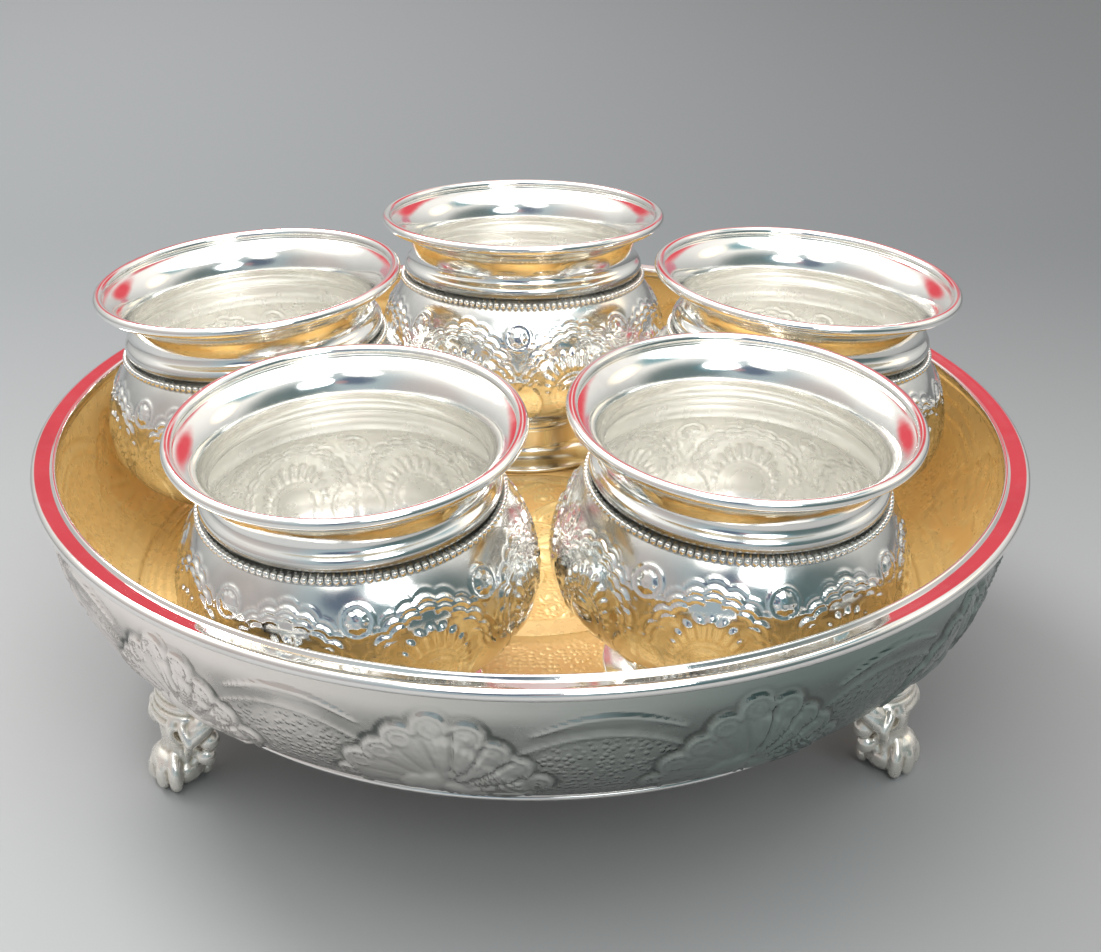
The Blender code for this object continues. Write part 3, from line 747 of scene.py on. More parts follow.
@dataclass
class Bowl:
    """Spun bowl with a beaded collar, an embossed belly and a soldered ring foot.

    Depths are measured down from the top of the rim.

    Attributes:
        place: Where it stands.
        seat_circle: Radius of the even circle of the seats.
        floor_height: Gives the height of the dish's floor at a radius.
        seat_turn: Degrees from the back to the first seat.
        slope: The floor's slope in degrees, by which the bowl leans out.
        clearance: Gap between the ring foot and the floor.
        diameter: Over the rim.
        sheet: Thickness of the metal.
        bead: Radius of the rolled rim.
        neck_diameter: Over the neck where it is narrowest.
        neck_depth: Depth of that place.
        collar_diameter: Over the collar's band.
        collar_top: Depth of the band's upper edge.
        collar_bottom: Depth of its lower edge.
        belly_diameter: Over the belly where it is widest.
        belly_depth: Depth of that place.
        bottom_diameter: Over the flat bottom.
        bottom_depth: Depth of the bottom's underside.
        foot_height: Height of the ring foot.
        stem_diameter: Over the foot's stem.
        base_diameter: Over its base.
        flare_height: Height at which the stem begins to flare.
        edge_height: Height of the base's edge.
        relief: What is pressed into the belly.
        columns: Columns round the body's mesh.
        bead_count: Beads in the collar's row.
        warmth: Share of warm tone inside.
    """

    place: BowlPlace
    seat_circle: float
    floor_height: Callable[[float], float]
    seat_turn: float = RING_TURN
    slope: float = FLOOR_SLOPE
    clearance: float = CLEARANCE
    diameter: float = 0.0705
    sheet: float = 0.0008
    bead: float = 0.0012
    neck_diameter: float = 0.0558
    neck_depth: float = 0.0098
    collar_diameter: float = 0.0598
    collar_top: float = 0.0124
    collar_bottom: float = 0.0168
    belly_diameter: float = 0.0720
    belly_depth: float = 0.0335
    bottom_diameter: float = 0.0350
    bottom_depth: float = 0.0486
    foot_height: float = 0.0125
    stem_diameter: float = 0.0336
    base_diameter: float = 0.0472
    flare_height: float = 0.0048
    edge_height: float = 0.0009
    relief: BowlRelief = field(default_factory=BowlRelief)
    columns: int = 456
    bead_count: int = 124
    warmth: float = 0.04

    def matrix(self, lift: float) -> Matrix:
        """Place of a level on the bowl's own axis.

        Args:
            lift: Distance up the axis from the floor.

        Returns:
            The matrix from the bowl's own coordinates.
        """
        step = 360 / len(BowlPlace)
        angle = math.radians(BACK_ANGLE + self.seat_turn + step * self.place.order + self.place.turn)
        radius = self.seat_circle + self.place.reach
        level = self.floor_height(radius) + self.clearance
        seat = Vector((radius * math.cos(angle), radius * math.sin(angle), level))
        lean = Matrix.Rotation(angle, 4, "Z") @ Matrix.Rotation(math.radians(self.slope), 4, "Y")
        spin = Matrix.Rotation(math.radians(self.place.spin), 4, "Z")
        return Matrix.Translation(seat) @ lean @ spin @ Matrix.Translation((0, 0, lift))

    def belly_line(self, count: int) -> np.ndarray:
        """Outside of the belly from the collar to the bottom's edge.

        Args:
            count: Number of points.

        Returns:
            Rows of (radius, height), the rim being at height nought.
        """
        collar = self.collar_diameter / 2
        belly = self.belly_diameter / 2
        bottom = self.bottom_diameter / 2
        shoulder = math.acos((collar - bottom) / (belly - bottom))
        rise = (self.belly_depth - self.collar_bottom) / math.sin(shoulder)
        centre = (bottom, -self.belly_depth)
        line = arc(centre, (belly - bottom, rise), math.degrees(shoulder), 0, 40)
        line += arc(centre, (belly - bottom, self.bottom_depth - self.belly_depth), 0, -90, 40)[1:]
        return even_points(line, count)

    def upper_line(self) -> Outline:
        """Outside from under the rim bead down the neck and over the collar's band."""
        lip = self.diameter / 2 - self.bead + self.sheet / 2
        neck = self.neck_diameter / 2
        collar = self.collar_diameter / 2
        flare = arc((lip, -self.neck_depth), (lip - neck, self.neck_depth - 2 * self.bead), 90, 180, 14)
        band_middle = (self.collar_top + self.collar_bottom) / 2 - 0.0014
        root = (neck + 0.0002, -self.neck_depth - 0.0008)
        band = arc((collar - 0.0012, -band_middle), (0.0012, 0.0017), 84, -84, 8)
        groove = (collar - 0.0010, -self.collar_bottom + 0.0018)
        return flare + [root] + band + [groove]

    def body_mesh(self) -> bpy.types.Mesh:
        """Bowl as one closed sheet, embossed from the inside.

        Returns:
            The mesh, its rim at height nought.
        """
        fine = self.belly_line(600)
        run = arc_lengths(fine)
        fine_end = 0.0245
        rows = np.concatenate([np.arange(0.0, fine_end, 0.0004), np.arange(fine_end, run[-1], 0.0008),
                               [run[-1]]])
        belly = np.column_stack([np.interp(rows, run, fine[:, 0]), np.interp(rows, run, fine[:, 1])])
        upper = even_points(self.upper_line(), 24)
        outside = np.concatenate([upper, belly])
        normals = line_normals(outside)
        top_rows = len(upper)
        fine_rows = top_rows + 60
        keep = np.unique(np.concatenate([np.arange(0, top_rows, 2), np.arange(top_rows, fine_rows),
                                         np.arange(fine_rows, len(outside), 2), [len(outside) - 1]]))[::-1]
        inner_line = outside[keep] - normals[keep] * self.sheet
        rim_centre = (self.diameter / 2 - self.bead, -self.bead)
        rim = np.array(arc(rim_centre, (self.bead, self.bead), 235, -62, 12))
        deep = -self.bottom_depth + self.sheet
        floor = np.array([(0.0004, deep), (0.006, deep), (0.0125, deep)])
        under = np.array([(0.0125, -self.bottom_depth), (0.0004, -self.bottom_depth)])
        line = np.concatenate([floor, inner_line, rim, outside, under])

        columns = self.columns
        angles = column_angles(columns, 0.5)
        pattern = self.relief.heights(columns // self.relief.sectors, rows / MM)
        around = np.tile(pattern, (1, self.relief.sectors))
        outer_height = np.concatenate([np.zeros((top_rows, columns)), around])
        inner_height = outer_height[keep] * 0.9

        def stacked(bottom: float, inner: np.ndarray, lip: float,
                    outer: np.ndarray, last: float) -> np.ndarray:
            """One value for every corner, from the bowl's floor over the rim to its underside."""
            return np.concatenate([np.full((len(floor), columns), bottom), inner,
                                   np.full((len(rim), columns), lip), outer,
                                   np.full((len(under), columns), last)])

        height = stacked(0.0, inner_height, 0.0, outer_height, 0.0)
        push = np.concatenate([np.zeros((len(floor), 2)), normals[keep], np.zeros((len(rim), 2)), normals,
                               np.zeros((len(under), 2))])
        mesh = grid_mesh("bowl_body", turned_grid(line, push, height, angles), False, True)

        top = self.relief.height * MM
        ground = 0.30 * (1.0 - soft_step(outer_height / top, 0.0, 0.25))
        ground[:top_rows] = 0.08
        ground[top_rows - 4:top_rows + 1] = 0.75
        # Painted shade inside the bowl, behind its highest relief, darkened like the tarnish.
        shadow = soft_step(outer_height[keep] / top, 0.6, 1.0) * 0.15
        # Painted reflection: the neck is tinted gold, as if it showed the gilt inside of the dish.
        neck = np.zeros((len(outside), columns))
        neck[:top_rows - 12] = 0.75
        plain = np.zeros((len(outside), columns))
        satin = self.satin_rows(keep, top_rows) + np.zeros((len(keep), columns))
        warm = np.full((len(keep), columns), self.warmth)
        add_mask(mesh, "hollow", stacked(0.15, shadow, 0.0, ground, 0.5))
        add_mask(mesh, "satin", stacked(1.0, satin, 0.0, plain, 0.5))
        add_mask(mesh, "gold_reflection_and_warmth", stacked(self.warmth, warm, 0.0, neck, 0.0))
        return mesh

    def satin_rows(self, keep: np.ndarray, top_rows: int) -> np.ndarray:
        """How satin each inner row is: full in the belly, polished towards the lip."""
        return soft_step(keep.astype(float), 0.25 * top_rows, 1.1 * top_rows)[:, None]

    def bead_mesh(self) -> bpy.types.Mesh:
        """Row of small square beads round the foot of the collar.

        Returns:
            The mesh, the bowl's rim being at height nought.
        """
        beads = Lumps(6, 8, 0.7)
        radius = self.collar_diameter / 2 + 0.0001
        level = -self.collar_bottom + 0.0009
        width = TAU * radius / self.bead_count
        for count in range(self.bead_count):
            turn = Matrix.Rotation(TAU * count / self.bead_count, 4, "Z")
            beads.add(turn @ Vector((radius, 0, level)), (0.0008, width * 0.43, 0.0008), turn)
        return beads.mesh("bowl_beads")

    def ring_foot_mesh(self) -> bpy.types.Mesh:
        """Spun ring foot with a straight stem, a flared base and a turned line on its edge.

        Returns:
            The mesh, its base at height nought.
        """
        stem = self.stem_diameter / 2
        base = self.base_diameter / 2
        wall = 0.001
        top = self.foot_height
        outside = [(stem - 0.0003, top), (stem, top - 0.0003), (stem, top - 0.0028),
                   (stem + 0.0004, top - 0.0031), (stem + 0.0004, top - 0.0037), (stem, top - 0.004)]
        sweep = (base - stem, self.flare_height - self.edge_height)
        outside += arc((base, self.flare_height), sweep, 180, 268, 12)
        outside += arc((base - 0.0005, 0.0005), (0.0005, 0.0005), 75, -90, 6)
        inner_sweep = (base - stem, self.flare_height - 0.0005)
        inside = arc((base - wall, self.flare_height), inner_sweep, 262, 180, 8)
        inside += [(stem - wall, top - wall), (stem - 0.004, top - wall), (stem - 0.004, top)]
        return spun_mesh("bowl_ring_foot", np.array(outside + inside), 160, sharp=50)

    def build(self, meshes: dict[str, bpy.types.Mesh], body: str) -> None:
        """Places the bowl's three pieces, each a copy of a shared mesh.

        Args:
            meshes: The meshes of a bowl on its own axis: body, beads and foot.
            body: The body that carries the bowl.
        """
        rim_height = self.bottom_depth + self.clearance + self.foot_height
        node = "bowl_" + self.place.label
        for kind, lift, slot, nodes in (
                ("body_embossed", rim_height, "bowl_metal", (node,)),
                ("bead_row", rim_height, "bowl_metal", ()),
                ("ring_foot_spun", 0.0, "ring_foot_metal", (node + "_ring_foot",))):
            mesh = meshes[kind].copy()
            mesh.transform(self.matrix(lift))
            new_piece(node + "_" + kind, mesh, body, slot, *nodes)


@dataclass
class DishRelief:
    """Scallop shells and mounds pressed into the dish's wall.

    Lengths are in millimetres: across is measured round the wall from the
    middle of a shell, and along is measured down the wall from the rim.

    Attributes:
        shells: Number of shells round the wall.
        first: Degrees of the first shell's middle.
        knob: Place of a shell's knob, along.
        lobes: Lobes round a shell.
        lobe_step: Degrees between two lobes.
        lobe_first: Degrees of the first lobe from straight up.
        reach: Distance from the knob to a lobe's tip.
        lobe_radius: Radius of a lobe.
        swirl: Degrees by which the petals bend on their way out.
        height: Greatest height of the relief.
        pitch: Distance between two shells.
        buds: Two buds and a leaf over the knob: place across and up, half length, half width,
            degrees of lean and height.
    """

    shells: int = 11
    first: float = 260.5
    knob: float = 26.5
    lobes: int = 9
    lobe_step: float = 21.2
    lobe_first: float = -89.0
    reach: float = 20.4
    lobe_radius: float = 3.8
    swirl: float = 13.0
    height: float = 1.3
    pitch: float = 59.4
    buds: tuple[tuple[float, ...], ...] = ((-5.9, 0.6, 4.3, 2.7, 24, 0.86), (-2.2, 1.2, 4.7, 2.9, 18, 0.98),
                                           (3.4, -1.0, 6.2, 2.3, -62, 0.92))

    def tip_reach(self, turn: np.ndarray | float) -> np.ndarray | float:
        """Distance from the knob to the border at an angle in radians."""
        return self.reach + 1.5 * np.cos(4 * turn)

    def shell(self, across: np.ndarray, up: np.ndarray) -> tuple[np.ndarray, np.ndarray]:
        """One shell: rolled lobed border, petals, finger ribs, buds and a leaf.

        Args:
            across: Places across, from the shell's middle.
            up: Places above the knob.

        Returns:
            Height from 0 to about 1, and how far inside the border each place is.
        """
        away = np.hypot(across, up)
        turn = np.arctan2(across, up)
        depth = self.tip_reach(turn) - 3.3 - away
        lobe_depth = np.full(across.shape, -1e9)
        for count in range(self.lobes):
            angle = math.radians(self.lobe_first + self.lobe_step * count)
            radius = self.lobe_radius * (0.86 if count in (0, self.lobes - 1) else 1.0)
            reach = self.tip_reach(angle) - radius
            near = radius - np.hypot(across - reach * math.sin(angle), up - reach * math.cos(angle))
            lobe_depth = np.maximum(lobe_depth, near)
        depth = np.where(up > -5.2, depth, -1e9)
        depth = np.maximum(depth, lobe_depth)

        right = soft_step(across, -2.5, 1.0)
        step = math.radians(self.lobe_step)
        bend = math.radians(self.swirl) * (1.0 - away / self.reach)
        phase = ((turn - bend - math.radians(self.lobe_first)) / step + 0.5) % 1.0 - 0.5
        beside = (0.5 - np.abs(phase)) * step * away
        crease = np.exp(-(beside / 0.6) ** 2) * soft_step(away, 4.0, 7.0)
        edge = ridge(beside - 1.1, 0.7) * soft_step(away, 6.0, 9.0)
        fingers = np.abs(np.sin((phase + 0.5) * 3 * math.pi)) ** 0.7
        tier = soft_step(away, 3.5, 5.5) * soft_step(depth, 2.2, 3.6)
        dome = 0.34 * soft_step(depth, 0.0, 2.4)
        total = dome + (0.06 + 0.36 * right) * fingers * tier
        total = total + right * (0.08 * edge - 0.34 * crease) * soft_step(depth, 0.2, 1.2)
        total = total - (1.0 - right) * 0.10 * crease * soft_step(depth, 0.5, 4.0)
        border = 0.46 * ridge(depth - 0.75, 0.8)
        second = 0.20 * ridge(lobe_depth - 2.1, 0.5)
        total = total + border + second - 0.14 * ridge(depth + 0.75, 0.8)
        for x, y, long, wide, lean, high in self.buds:
            angle = math.radians(lean)
            lengthwise = (across - x) * math.sin(angle) + (up - y) * math.cos(angle)
            sideways = (across - x) * math.cos(angle) - (up - y) * math.sin(angle)
            near = np.clip(1.0 - (lengthwise / long) ** 2 - (sideways / wide) ** 2, 0.0, None)
            total = np.maximum(total, np.where(near > 0, 0.25 + (high - 0.25) * near ** 0.5, -1.0))
        return total, depth

    def mound(self, across: np.ndarray, along: np.ndarray) -> tuple[np.ndarray, np.ndarray]:
        """Mound between two shells, under a crescent and an arc line.

        Args:
            across: Places across, from the mound's middle.
            along: Places along.

        Returns:
            Height from 0 to about 1, and a mask of the punched ground under the line.
        """
        bow = ((across - 1.0) / 15.3) ** 2
        crest = 4.6 + 5.0 * bow
        low = 7.6 + 2.4 * bow
        wide = np.clip(low - crest, 0.05, None)
        share = np.clip((along - crest) / wide, 0.0, 1.0)
        span = 1.0 - soft_step(np.abs(across - 1.0), 13.0, 15.4)
        crescent = 0.50 * soft_step(along - crest, -0.5, 0.5) * (1.0 - share) ** 0.8 * span
        crescent = crescent + 0.16 * ridge(along - crest - 0.5, 0.7) * span
        line = 9.4 + 3.7 * (across / 13.5) ** 2
        arc_line = 0.36 * ridge(along - line, 0.7) * (1.0 - soft_step(np.abs(across), 14.5, 16.5))
        below = soft_step(along - line, 0.5, 1.4)
        swell = 0.24 * np.clip(1.0 - (across / 19.0) ** 2, 0.0, None) * soft_step(along - line, -0.3, 4.0)
        return np.maximum(crescent, arc_line) + swell, below

    def heights(self, angles: np.ndarray, along: np.ndarray,
                lowest: float) -> tuple[np.ndarray, np.ndarray]:
        """Relief over one repeat, in metres, and its mask of punched ground.

        Args:
            angles: Column angles from a shell's middle, from 0 to one repeat.
            along: Row places along the wall, in millimetres.
            lowest: Where the relief ends, along.

        Returns:
            Heights and the mask, each for rows and columns.
        """
        across, down = np.meshgrid(angles / (TAU / self.shells) * self.pitch, along)
        from_shell = (across + self.pitch / 2) % self.pitch - self.pitch / 2
        from_mound = across - self.pitch / 2
        shell, depth = self.shell(from_shell, self.knob - down)
        mound, punched = self.mound(from_mound, down)
        outside = 1.0 - soft_step(depth, -1.0, -0.2)
        total = np.where(depth > -0.2, np.maximum(shell, 0.0), shell * (depth > -2.0) + mound * outside)
        total = total * (1.0 - soft_step(down, 31.6, 32.8)) * soft_step(down, 3.4, 4.4)
        total = total + 0.34 * ridge(down - 34.2, 0.6)
        fade = 1.0 - soft_step(down, lowest - 1.2, lowest - 0.3)
        return total * fade * self.height * MM, punched * outside * (1.0 - soft_step(down, 31.4, 32.4))


@dataclass
class FloorRelief:
    """Swirl of leaves and pearls round the middle of the floor, in millimetres.

    Attributes:
        radius: Outer radius of the piece.
        arms: Leaves in the swirl.
        inner: Where the leaves begin.
        outer: Where they end.
        sweep: Degrees by which a leaf turns on its way out.
        height: Greatest height of the relief.
    """

    radius: float = 39.0
    arms: int = 9
    inner: float = 12.0
    outer: float = 33.5
    sweep: float = 38.0
    height: float = 0.9

    def heights(self, angles: np.ndarray, radii: np.ndarray) -> np.ndarray:
        """Relief for rows of radii and columns of angles, in metres."""
        turn, away = np.meshgrid(angles, radii)
        share = np.clip((away - self.inner) / (self.outer - self.inner), 0.0, 1.0)
        bend = math.radians(self.sweep) * share ** 1.4
        step = TAU / self.arms
        beside = ((turn + bend + step / 2) % step - step / 2) * away
        span = soft_step(away, self.inner, self.inner + 1.5)
        span = span * (1.0 - soft_step(away, self.outer - 1.2, self.outer))
        half = 0.6 + 2.3 * np.sin(math.pi * share ** 0.8)
        ribs = np.maximum(ridge(beside + half * 0.65, 0.9), ridge(beside - half * 0.65, 0.9))
        leaf = span * np.maximum(ribs, 0.35 * np.clip(1.0 - (beside / (half + 1.0)) ** 2, 0.0, None))
        pearls = np.zeros(away.shape)
        for across, out, size in ((6.0, 24.0, 1.25), (9.4, 24.6, 1.25), (7.4, 29.0, 0.8)):
            off = ((turn + math.radians(self.sweep) * 0.36 + step / 2) % step - step / 2) * away - across
            near = np.hypot(off, away - out)
            pearls = np.maximum(pearls, 0.8 * np.clip(1.0 - (near / size) ** 2, 0.0, None) ** 0.5)
            pearls = np.maximum(pearls, 0.4 * ridge(near - size - 0.8, 0.4))
        flower = 0.8 * np.abs(np.cos(turn * 4)) ** 0.7 * np.clip(1.0 - ((away - 6.0) / 4.2) ** 2, 0.0, None)
        boss = 1.1 * np.clip(1.0 - (away / 2.6) ** 2, 0.0, None) ** 0.5
        ring = 0.5 * ridge(away - 11.0, 0.6)
        band = 0.45 * soft_step(away, self.outer - 0.2, self.outer + 0.4) * (self.radius - away) / 5.5
        total = np.maximum(np.maximum(leaf, pearls), np.maximum(np.maximum(flower, boss), ring))
        fade = 1.0 - soft_step(away, self.radius - 0.5, self.radius - 0.05)
        return (total + band) * self.height * MM * fade


@dataclass
class Dish:
    """Deep dish drawn from one sheet, with a rolled rim and a coned floor.

    Attributes:
        radius: Radius over the rim.
        rim_height: Height of the rim's flat top.
        base_height: Height of the dish's underside.
        sheet: Thickness of the metal.
        draw_in: How much narrower the wall is at its foot.
        roundness: Power of the wall's curve, where 2 is an ellipse.
        rim_width: Width of the rolled rim.
        rim_thickness: Its height.
        rim_overhang: How far it stands out over the wall.
        bead_height: Height of the bead on its inner edge.
        ring_height: Height of the turned lines round the foot of the wall.
        ring_step: How far they stand out.
        land: Width of the flat between the foot of the wall and the coned floor.
        slope: Slope of the coned floor in degrees.
        centre_radius: Radius of the floor's level middle.
        relief: What is pressed into the wall.
        outer_columns: Columns round the outside, a multiple of the shells.
        inner_columns: Columns round the inside, a multiple of the shells.
        ring_columns: Columns round the rim and the base ring.
        outer_share: Share of the sheet that the outside's mesh fills.
        inner_share: Share of the sheet that the inside's mesh fills.
        inner_room: Share of the sheet that the inside's relief may rise or sink.
    """

    radius: float
    rim_height: float
    base_height: float
    sheet: float = 0.0011
    draw_in: float = 0.0162
    roundness: float = 2.3
    rim_width: float = 0.0056
    rim_thickness: float = 0.0026
    rim_overhang: float = 0.0029
    bead_height: float = 0.0005
    ring_height: float = 0.0022
    ring_step: float = 0.0006
    land: float = 0.0030
    slope: float = FLOOR_SLOPE
    centre_radius: float = 0.0280
    relief: DishRelief = field(default_factory=DishRelief)
    outer_columns: int = 1364
    inner_columns: int = 880
    ring_columns: int = 480
    outer_share: float = 0.20
    inner_share: float = 0.78
    inner_room: float = 0.62

    @property
    def depth(self) -> float:
        """Height of the rim over the underside."""
        return self.rim_height - self.base_height

    @property
    def wall_top(self) -> float:
        """Radius of the wall under the rim."""
        return self.radius - self.rim_overhang

    @property
    def floor_edge(self) -> float:
        """Radius of the floor."""
        return self.wall_top - self.draw_in - self.land

    def floor_height(self, radius: float) -> float:
        """World height of the floor's upper face at a radius."""
        rise = (self.floor_edge - max(radius, self.centre_radius)) * math.tan(math.radians(self.slope))
        return self.base_height + self.sheet + rise

    def wall_line(self, count: int) -> np.ndarray:
        """Outside of the wall from under the rim to the base ring.

        Args:
            count: Number of points.

        Returns:
            Rows of (radius, height) in the world.
        """
        lowest = self.depth - self.ring_height
        power = self.roundness

        def share(down: float) -> float:
            """How much of the wall is drawn in at a depth."""
            return 1 - (1 - (down / self.depth) ** power) ** (1 / power)

        line = []
        for step in range(121):
            down = self.rim_thickness + (lowest - self.rim_thickness) * math.sin(0.5 * math.pi * step / 120)
            radius = self.wall_top - self.draw_in * share(down) / share(lowest)
            line.append((radius, self.rim_height - down))
        return even_points(line, count)

    def pattern(self, columns: int, along: np.ndarray) -> tuple[np.ndarray, np.ndarray, np.ndarray]:
        """Relief of the whole wall.

        Args:
            columns: Number of columns round the dish.
            along: Row places along the wall, in millimetres.

        Returns:
            Column angles, heights in metres and the mask of punched ground.
        """
        share = columns // self.relief.shells
        sector = np.arange(share) / share * TAU / self.relief.shells
        height, punched = self.relief.heights(sector, along, along[-1])
        angles = math.radians(self.relief.first) + column_angles(columns)
        return angles, np.tile(height, (1, self.relief.shells)), np.tile(punched, (1, self.relief.shells))

    def outer_skin(self) -> bpy.types.Mesh:
        """Outside face of the wall, with the shells raised.

        Returns:
            The closed mesh.
        """
        front = self.wall_line(64)
        along = arc_lengths(front) / MM
        angles, height, punched = self.pattern(self.outer_columns, along)
        middle = self.wall_line(9)
        back = middle - line_normals(middle) * self.sheet * self.outer_share
        line = np.concatenate([front, back[::-1]])
        push = np.concatenate([line_normals(front), line_normals(middle)[::-1]])
        plain = np.zeros((len(back), self.outer_columns))
        places = turned_grid(line, push, np.concatenate([height, plain]), angles)
        mesh = grid_mesh("dish_outer_skin", places, True, False)
        share = height / (self.relief.height * MM)
        hollow = 0.55 * (1.0 - soft_step(share, 0.0, 0.5)) + 0.45 * soft_step(-share, 0.0, 0.1)
        hollow = hollow * soft_step(along, 3.0, 9.0)[:, None]
        add_mask(mesh, "hollow", np.concatenate([hollow, plain]))
        # Painted shade: the outside of the wall turns darker towards +X, the right, as if less light fell
        # there.
        right_side_shade = soft_step(self.radius * np.cos(angles), -0.080, 0.062) + np.zeros((len(line), 1))
        add_mask(mesh, "painted_side_shade", right_side_shade)
        add_mask(mesh, "stippled", np.concatenate([punched, plain]))
        return mesh

    def inner_skin(self) -> bpy.types.Mesh:
        """Inside face of the wall and the floor's outer part, with the shells seen from behind.

        Returns:
            The closed mesh.
        """
        wall = self.wall_line(54)
        normals = line_normals(wall)
        columns = self.inner_columns
        angles, height, punched = self.pattern(columns, arc_lengths(wall) / MM)
        inner_wall = wall - normals * self.sheet
        corner = inner_wall[-1]
        edge = self.floor_edge
        seat = self.base_height + self.sheet
        junction = [(corner[0] - 0.0006, corner[1] - 0.0006), (edge + 0.0016, seat),
                    (edge + 0.0009, seat + 0.0005)]
        radii = np.concatenate([np.arange(edge, edge - 0.0085, -0.0004),
                                np.linspace(edge - 0.0086, 0.0390, 12)])
        rings = 0.00035 * np.abs(np.sin((edge - radii) / 0.0021 * math.pi)) * (radii > edge - 0.0084)
        floor = [(radius, self.floor_height(radius) + lift) for radius, lift in zip(radii, rings)]
        front = np.concatenate([inner_wall, np.array(junction), np.array(floor)])
        picked = np.unique(np.concatenate([np.arange(0, len(front), 6), [len(front) - 1]]))
        under = (front + line_normals(front) * self.sheet * self.inner_share)[picked]
        line = np.concatenate([front, under[::-1]])
        still = len(front) - len(wall)
        plain = np.zeros((len(under), columns))
        push = np.concatenate([normals, np.zeros((still + len(under), 2))])
        room = self.inner_room * self.sheet
        front_height = np.concatenate([room * np.tanh(height * 0.92 / room), np.zeros((still, columns))])
        places = turned_grid(line, push, np.concatenate([front_height, plain]), angles)
        mesh = grid_mesh("dish_inner_skin", places, True, False)
        mesh.flip_normals()
        ground = np.concatenate([np.zeros(3), soft_step(edge - radii, 0.009, 0.010)])
        ground = ground[:, None] + np.zeros(columns)
        add_mask(mesh, "stippled", np.concatenate([punched * 0.8, ground, plain]))
        low = soft_step(front_height / room, 0.5, 1.0) * 0.5
        low[len(wall):] = 0.45 * ground
        add_mask(mesh, "hollow", np.concatenate([low, plain]))
        return mesh

    def floor_centre(self) -> bpy.types.Mesh:
        """Middle of the floor, with its swirl of leaves.

        Returns:
            The closed mesh.
        """
        swirl = FloorRelief()
        radii = np.linspace(0.4, swirl.radius, 72)
        columns = 540
        angles = column_angles(columns) + math.radians(self.relief.first)
        height = swirl.heights(angles, radii)
        top = np.array([(r * MM, self.floor_height(r * MM)) for r in radii])
        low = np.array([(r * MM, self.floor_height(r * MM) - self.sheet / 2)
                        for r in (swirl.radius, 28.0, 0.4)])
        line = np.concatenate([top, low])
        push = np.tile(np.array([(0.0, 1.0)]), (len(line), 1))
        plain = np.zeros((len(low), columns))
        full = np.concatenate([height, plain])
        mesh = grid_mesh("dish_floor_centre", turned_grid(line, push, full, angles), False, True)
        polished = soft_step(radii, swirl.outer - 0.5, swirl.outer + 0.2)[:, None]
        ground = (1.0 - soft_step(height / (swirl.height * MM), 0.02, 0.25)) * (1.0 - polished)
        add_mask(mesh, "stippled", np.concatenate([ground, plain]))
        add_mask(mesh, "hollow", np.concatenate([0.6 * ground, plain]))
        return mesh

    def rim_mesh(self) -> bpy.types.Mesh:
        """Rolled flat rim with a bead on its inner edge.

        Returns:
            The closed mesh.
        """
        half = self.rim_thickness / 2
        top = self.rim_height
        inner = self.radius - self.rim_width
        bead = self.bead_height
        low = top - self.rim_thickness
        line = [(inner + bead, low), (inner, low + bead), (inner, top - bead)]
        line += arc((inner + bead, top), (bead, bead), 180, 20, 8)
        line += [(inner + 2 * bead + 0.0003, top - 0.00025), (self.radius - half - 0.0009, top - 0.0001)]
        line += arc((self.radius - half, top - half), (half, half), 96, -90, 14)
        line += [(self.wall_top - 0.0006, low)]
        return spun_mesh("dish_rim", np.array(line)[::-1], self.ring_columns, sharp=55)

    def base_ring_mesh(self) -> bpy.types.Mesh:
        """Double turned line round the foot of the wall.

        Returns:
            The closed mesh.
        """
        outer = self.wall_top - self.draw_in + self.ring_step
        low = self.base_height
        line = [(outer - 0.0016, low + self.ring_height + 0.0006)]
        line += arc((outer - 0.0007, low + 0.0017), (0.0007, 0.0006), 100, -70, 6)
        line += arc((outer - 0.0006, low + 0.0006), (0.0006, 0.0006), 70, -90, 6)
        line += [(self.floor_edge, low), (self.floor_edge, low + 0.0005), (outer - 0.0018, low + 0.0005)]
        return spun_mesh("dish_base_ring", np.array(line), self.ring_columns, sharp=60)

    def under_mesh(self) -> bpy.types.Mesh:
        """Plain underside of the coned floor.

        Returns:
            The closed mesh.
        """
        radii = np.array([self.floor_edge + 0.0006, self.centre_radius, 0.0006])
        lower = [(r, self.floor_height(r) - self.sheet) for r in radii]
        upper = [(r, self.floor_height(r) - self.sheet * 0.5) for r in radii]
        return spun_mesh("dish_underside", np.array(upper[::-1] + lower), 240, ring=False)

    def build(self, finishes: dict[str, bpy.types.Material]) -> None:
        """Makes and dresses the dish's pieces.

        Args:
            finishes: The materials by name.
        """
        for name, mesh, finish in (("dish_wall_outside", self.outer_skin(), "dish_outside"),
                                   ("dish_wall_inside", self.inner_skin(), "dish_inside"),
                                   ("dish_floor_centre", self.floor_centre(), "dish_inside"),
                                   ("dish_rim_rolled", self.rim_mesh(), "rim"),
                                   ("dish_base_ring_turned", self.base_ring_mesh(), "rim"),
                                   ("dish_underside_plain", self.under_mesh(), "dish_outside")):
            mesh.materials.append(finishes[finish])
            new_piece(name, mesh, "plate", "dish_metal", "dish")


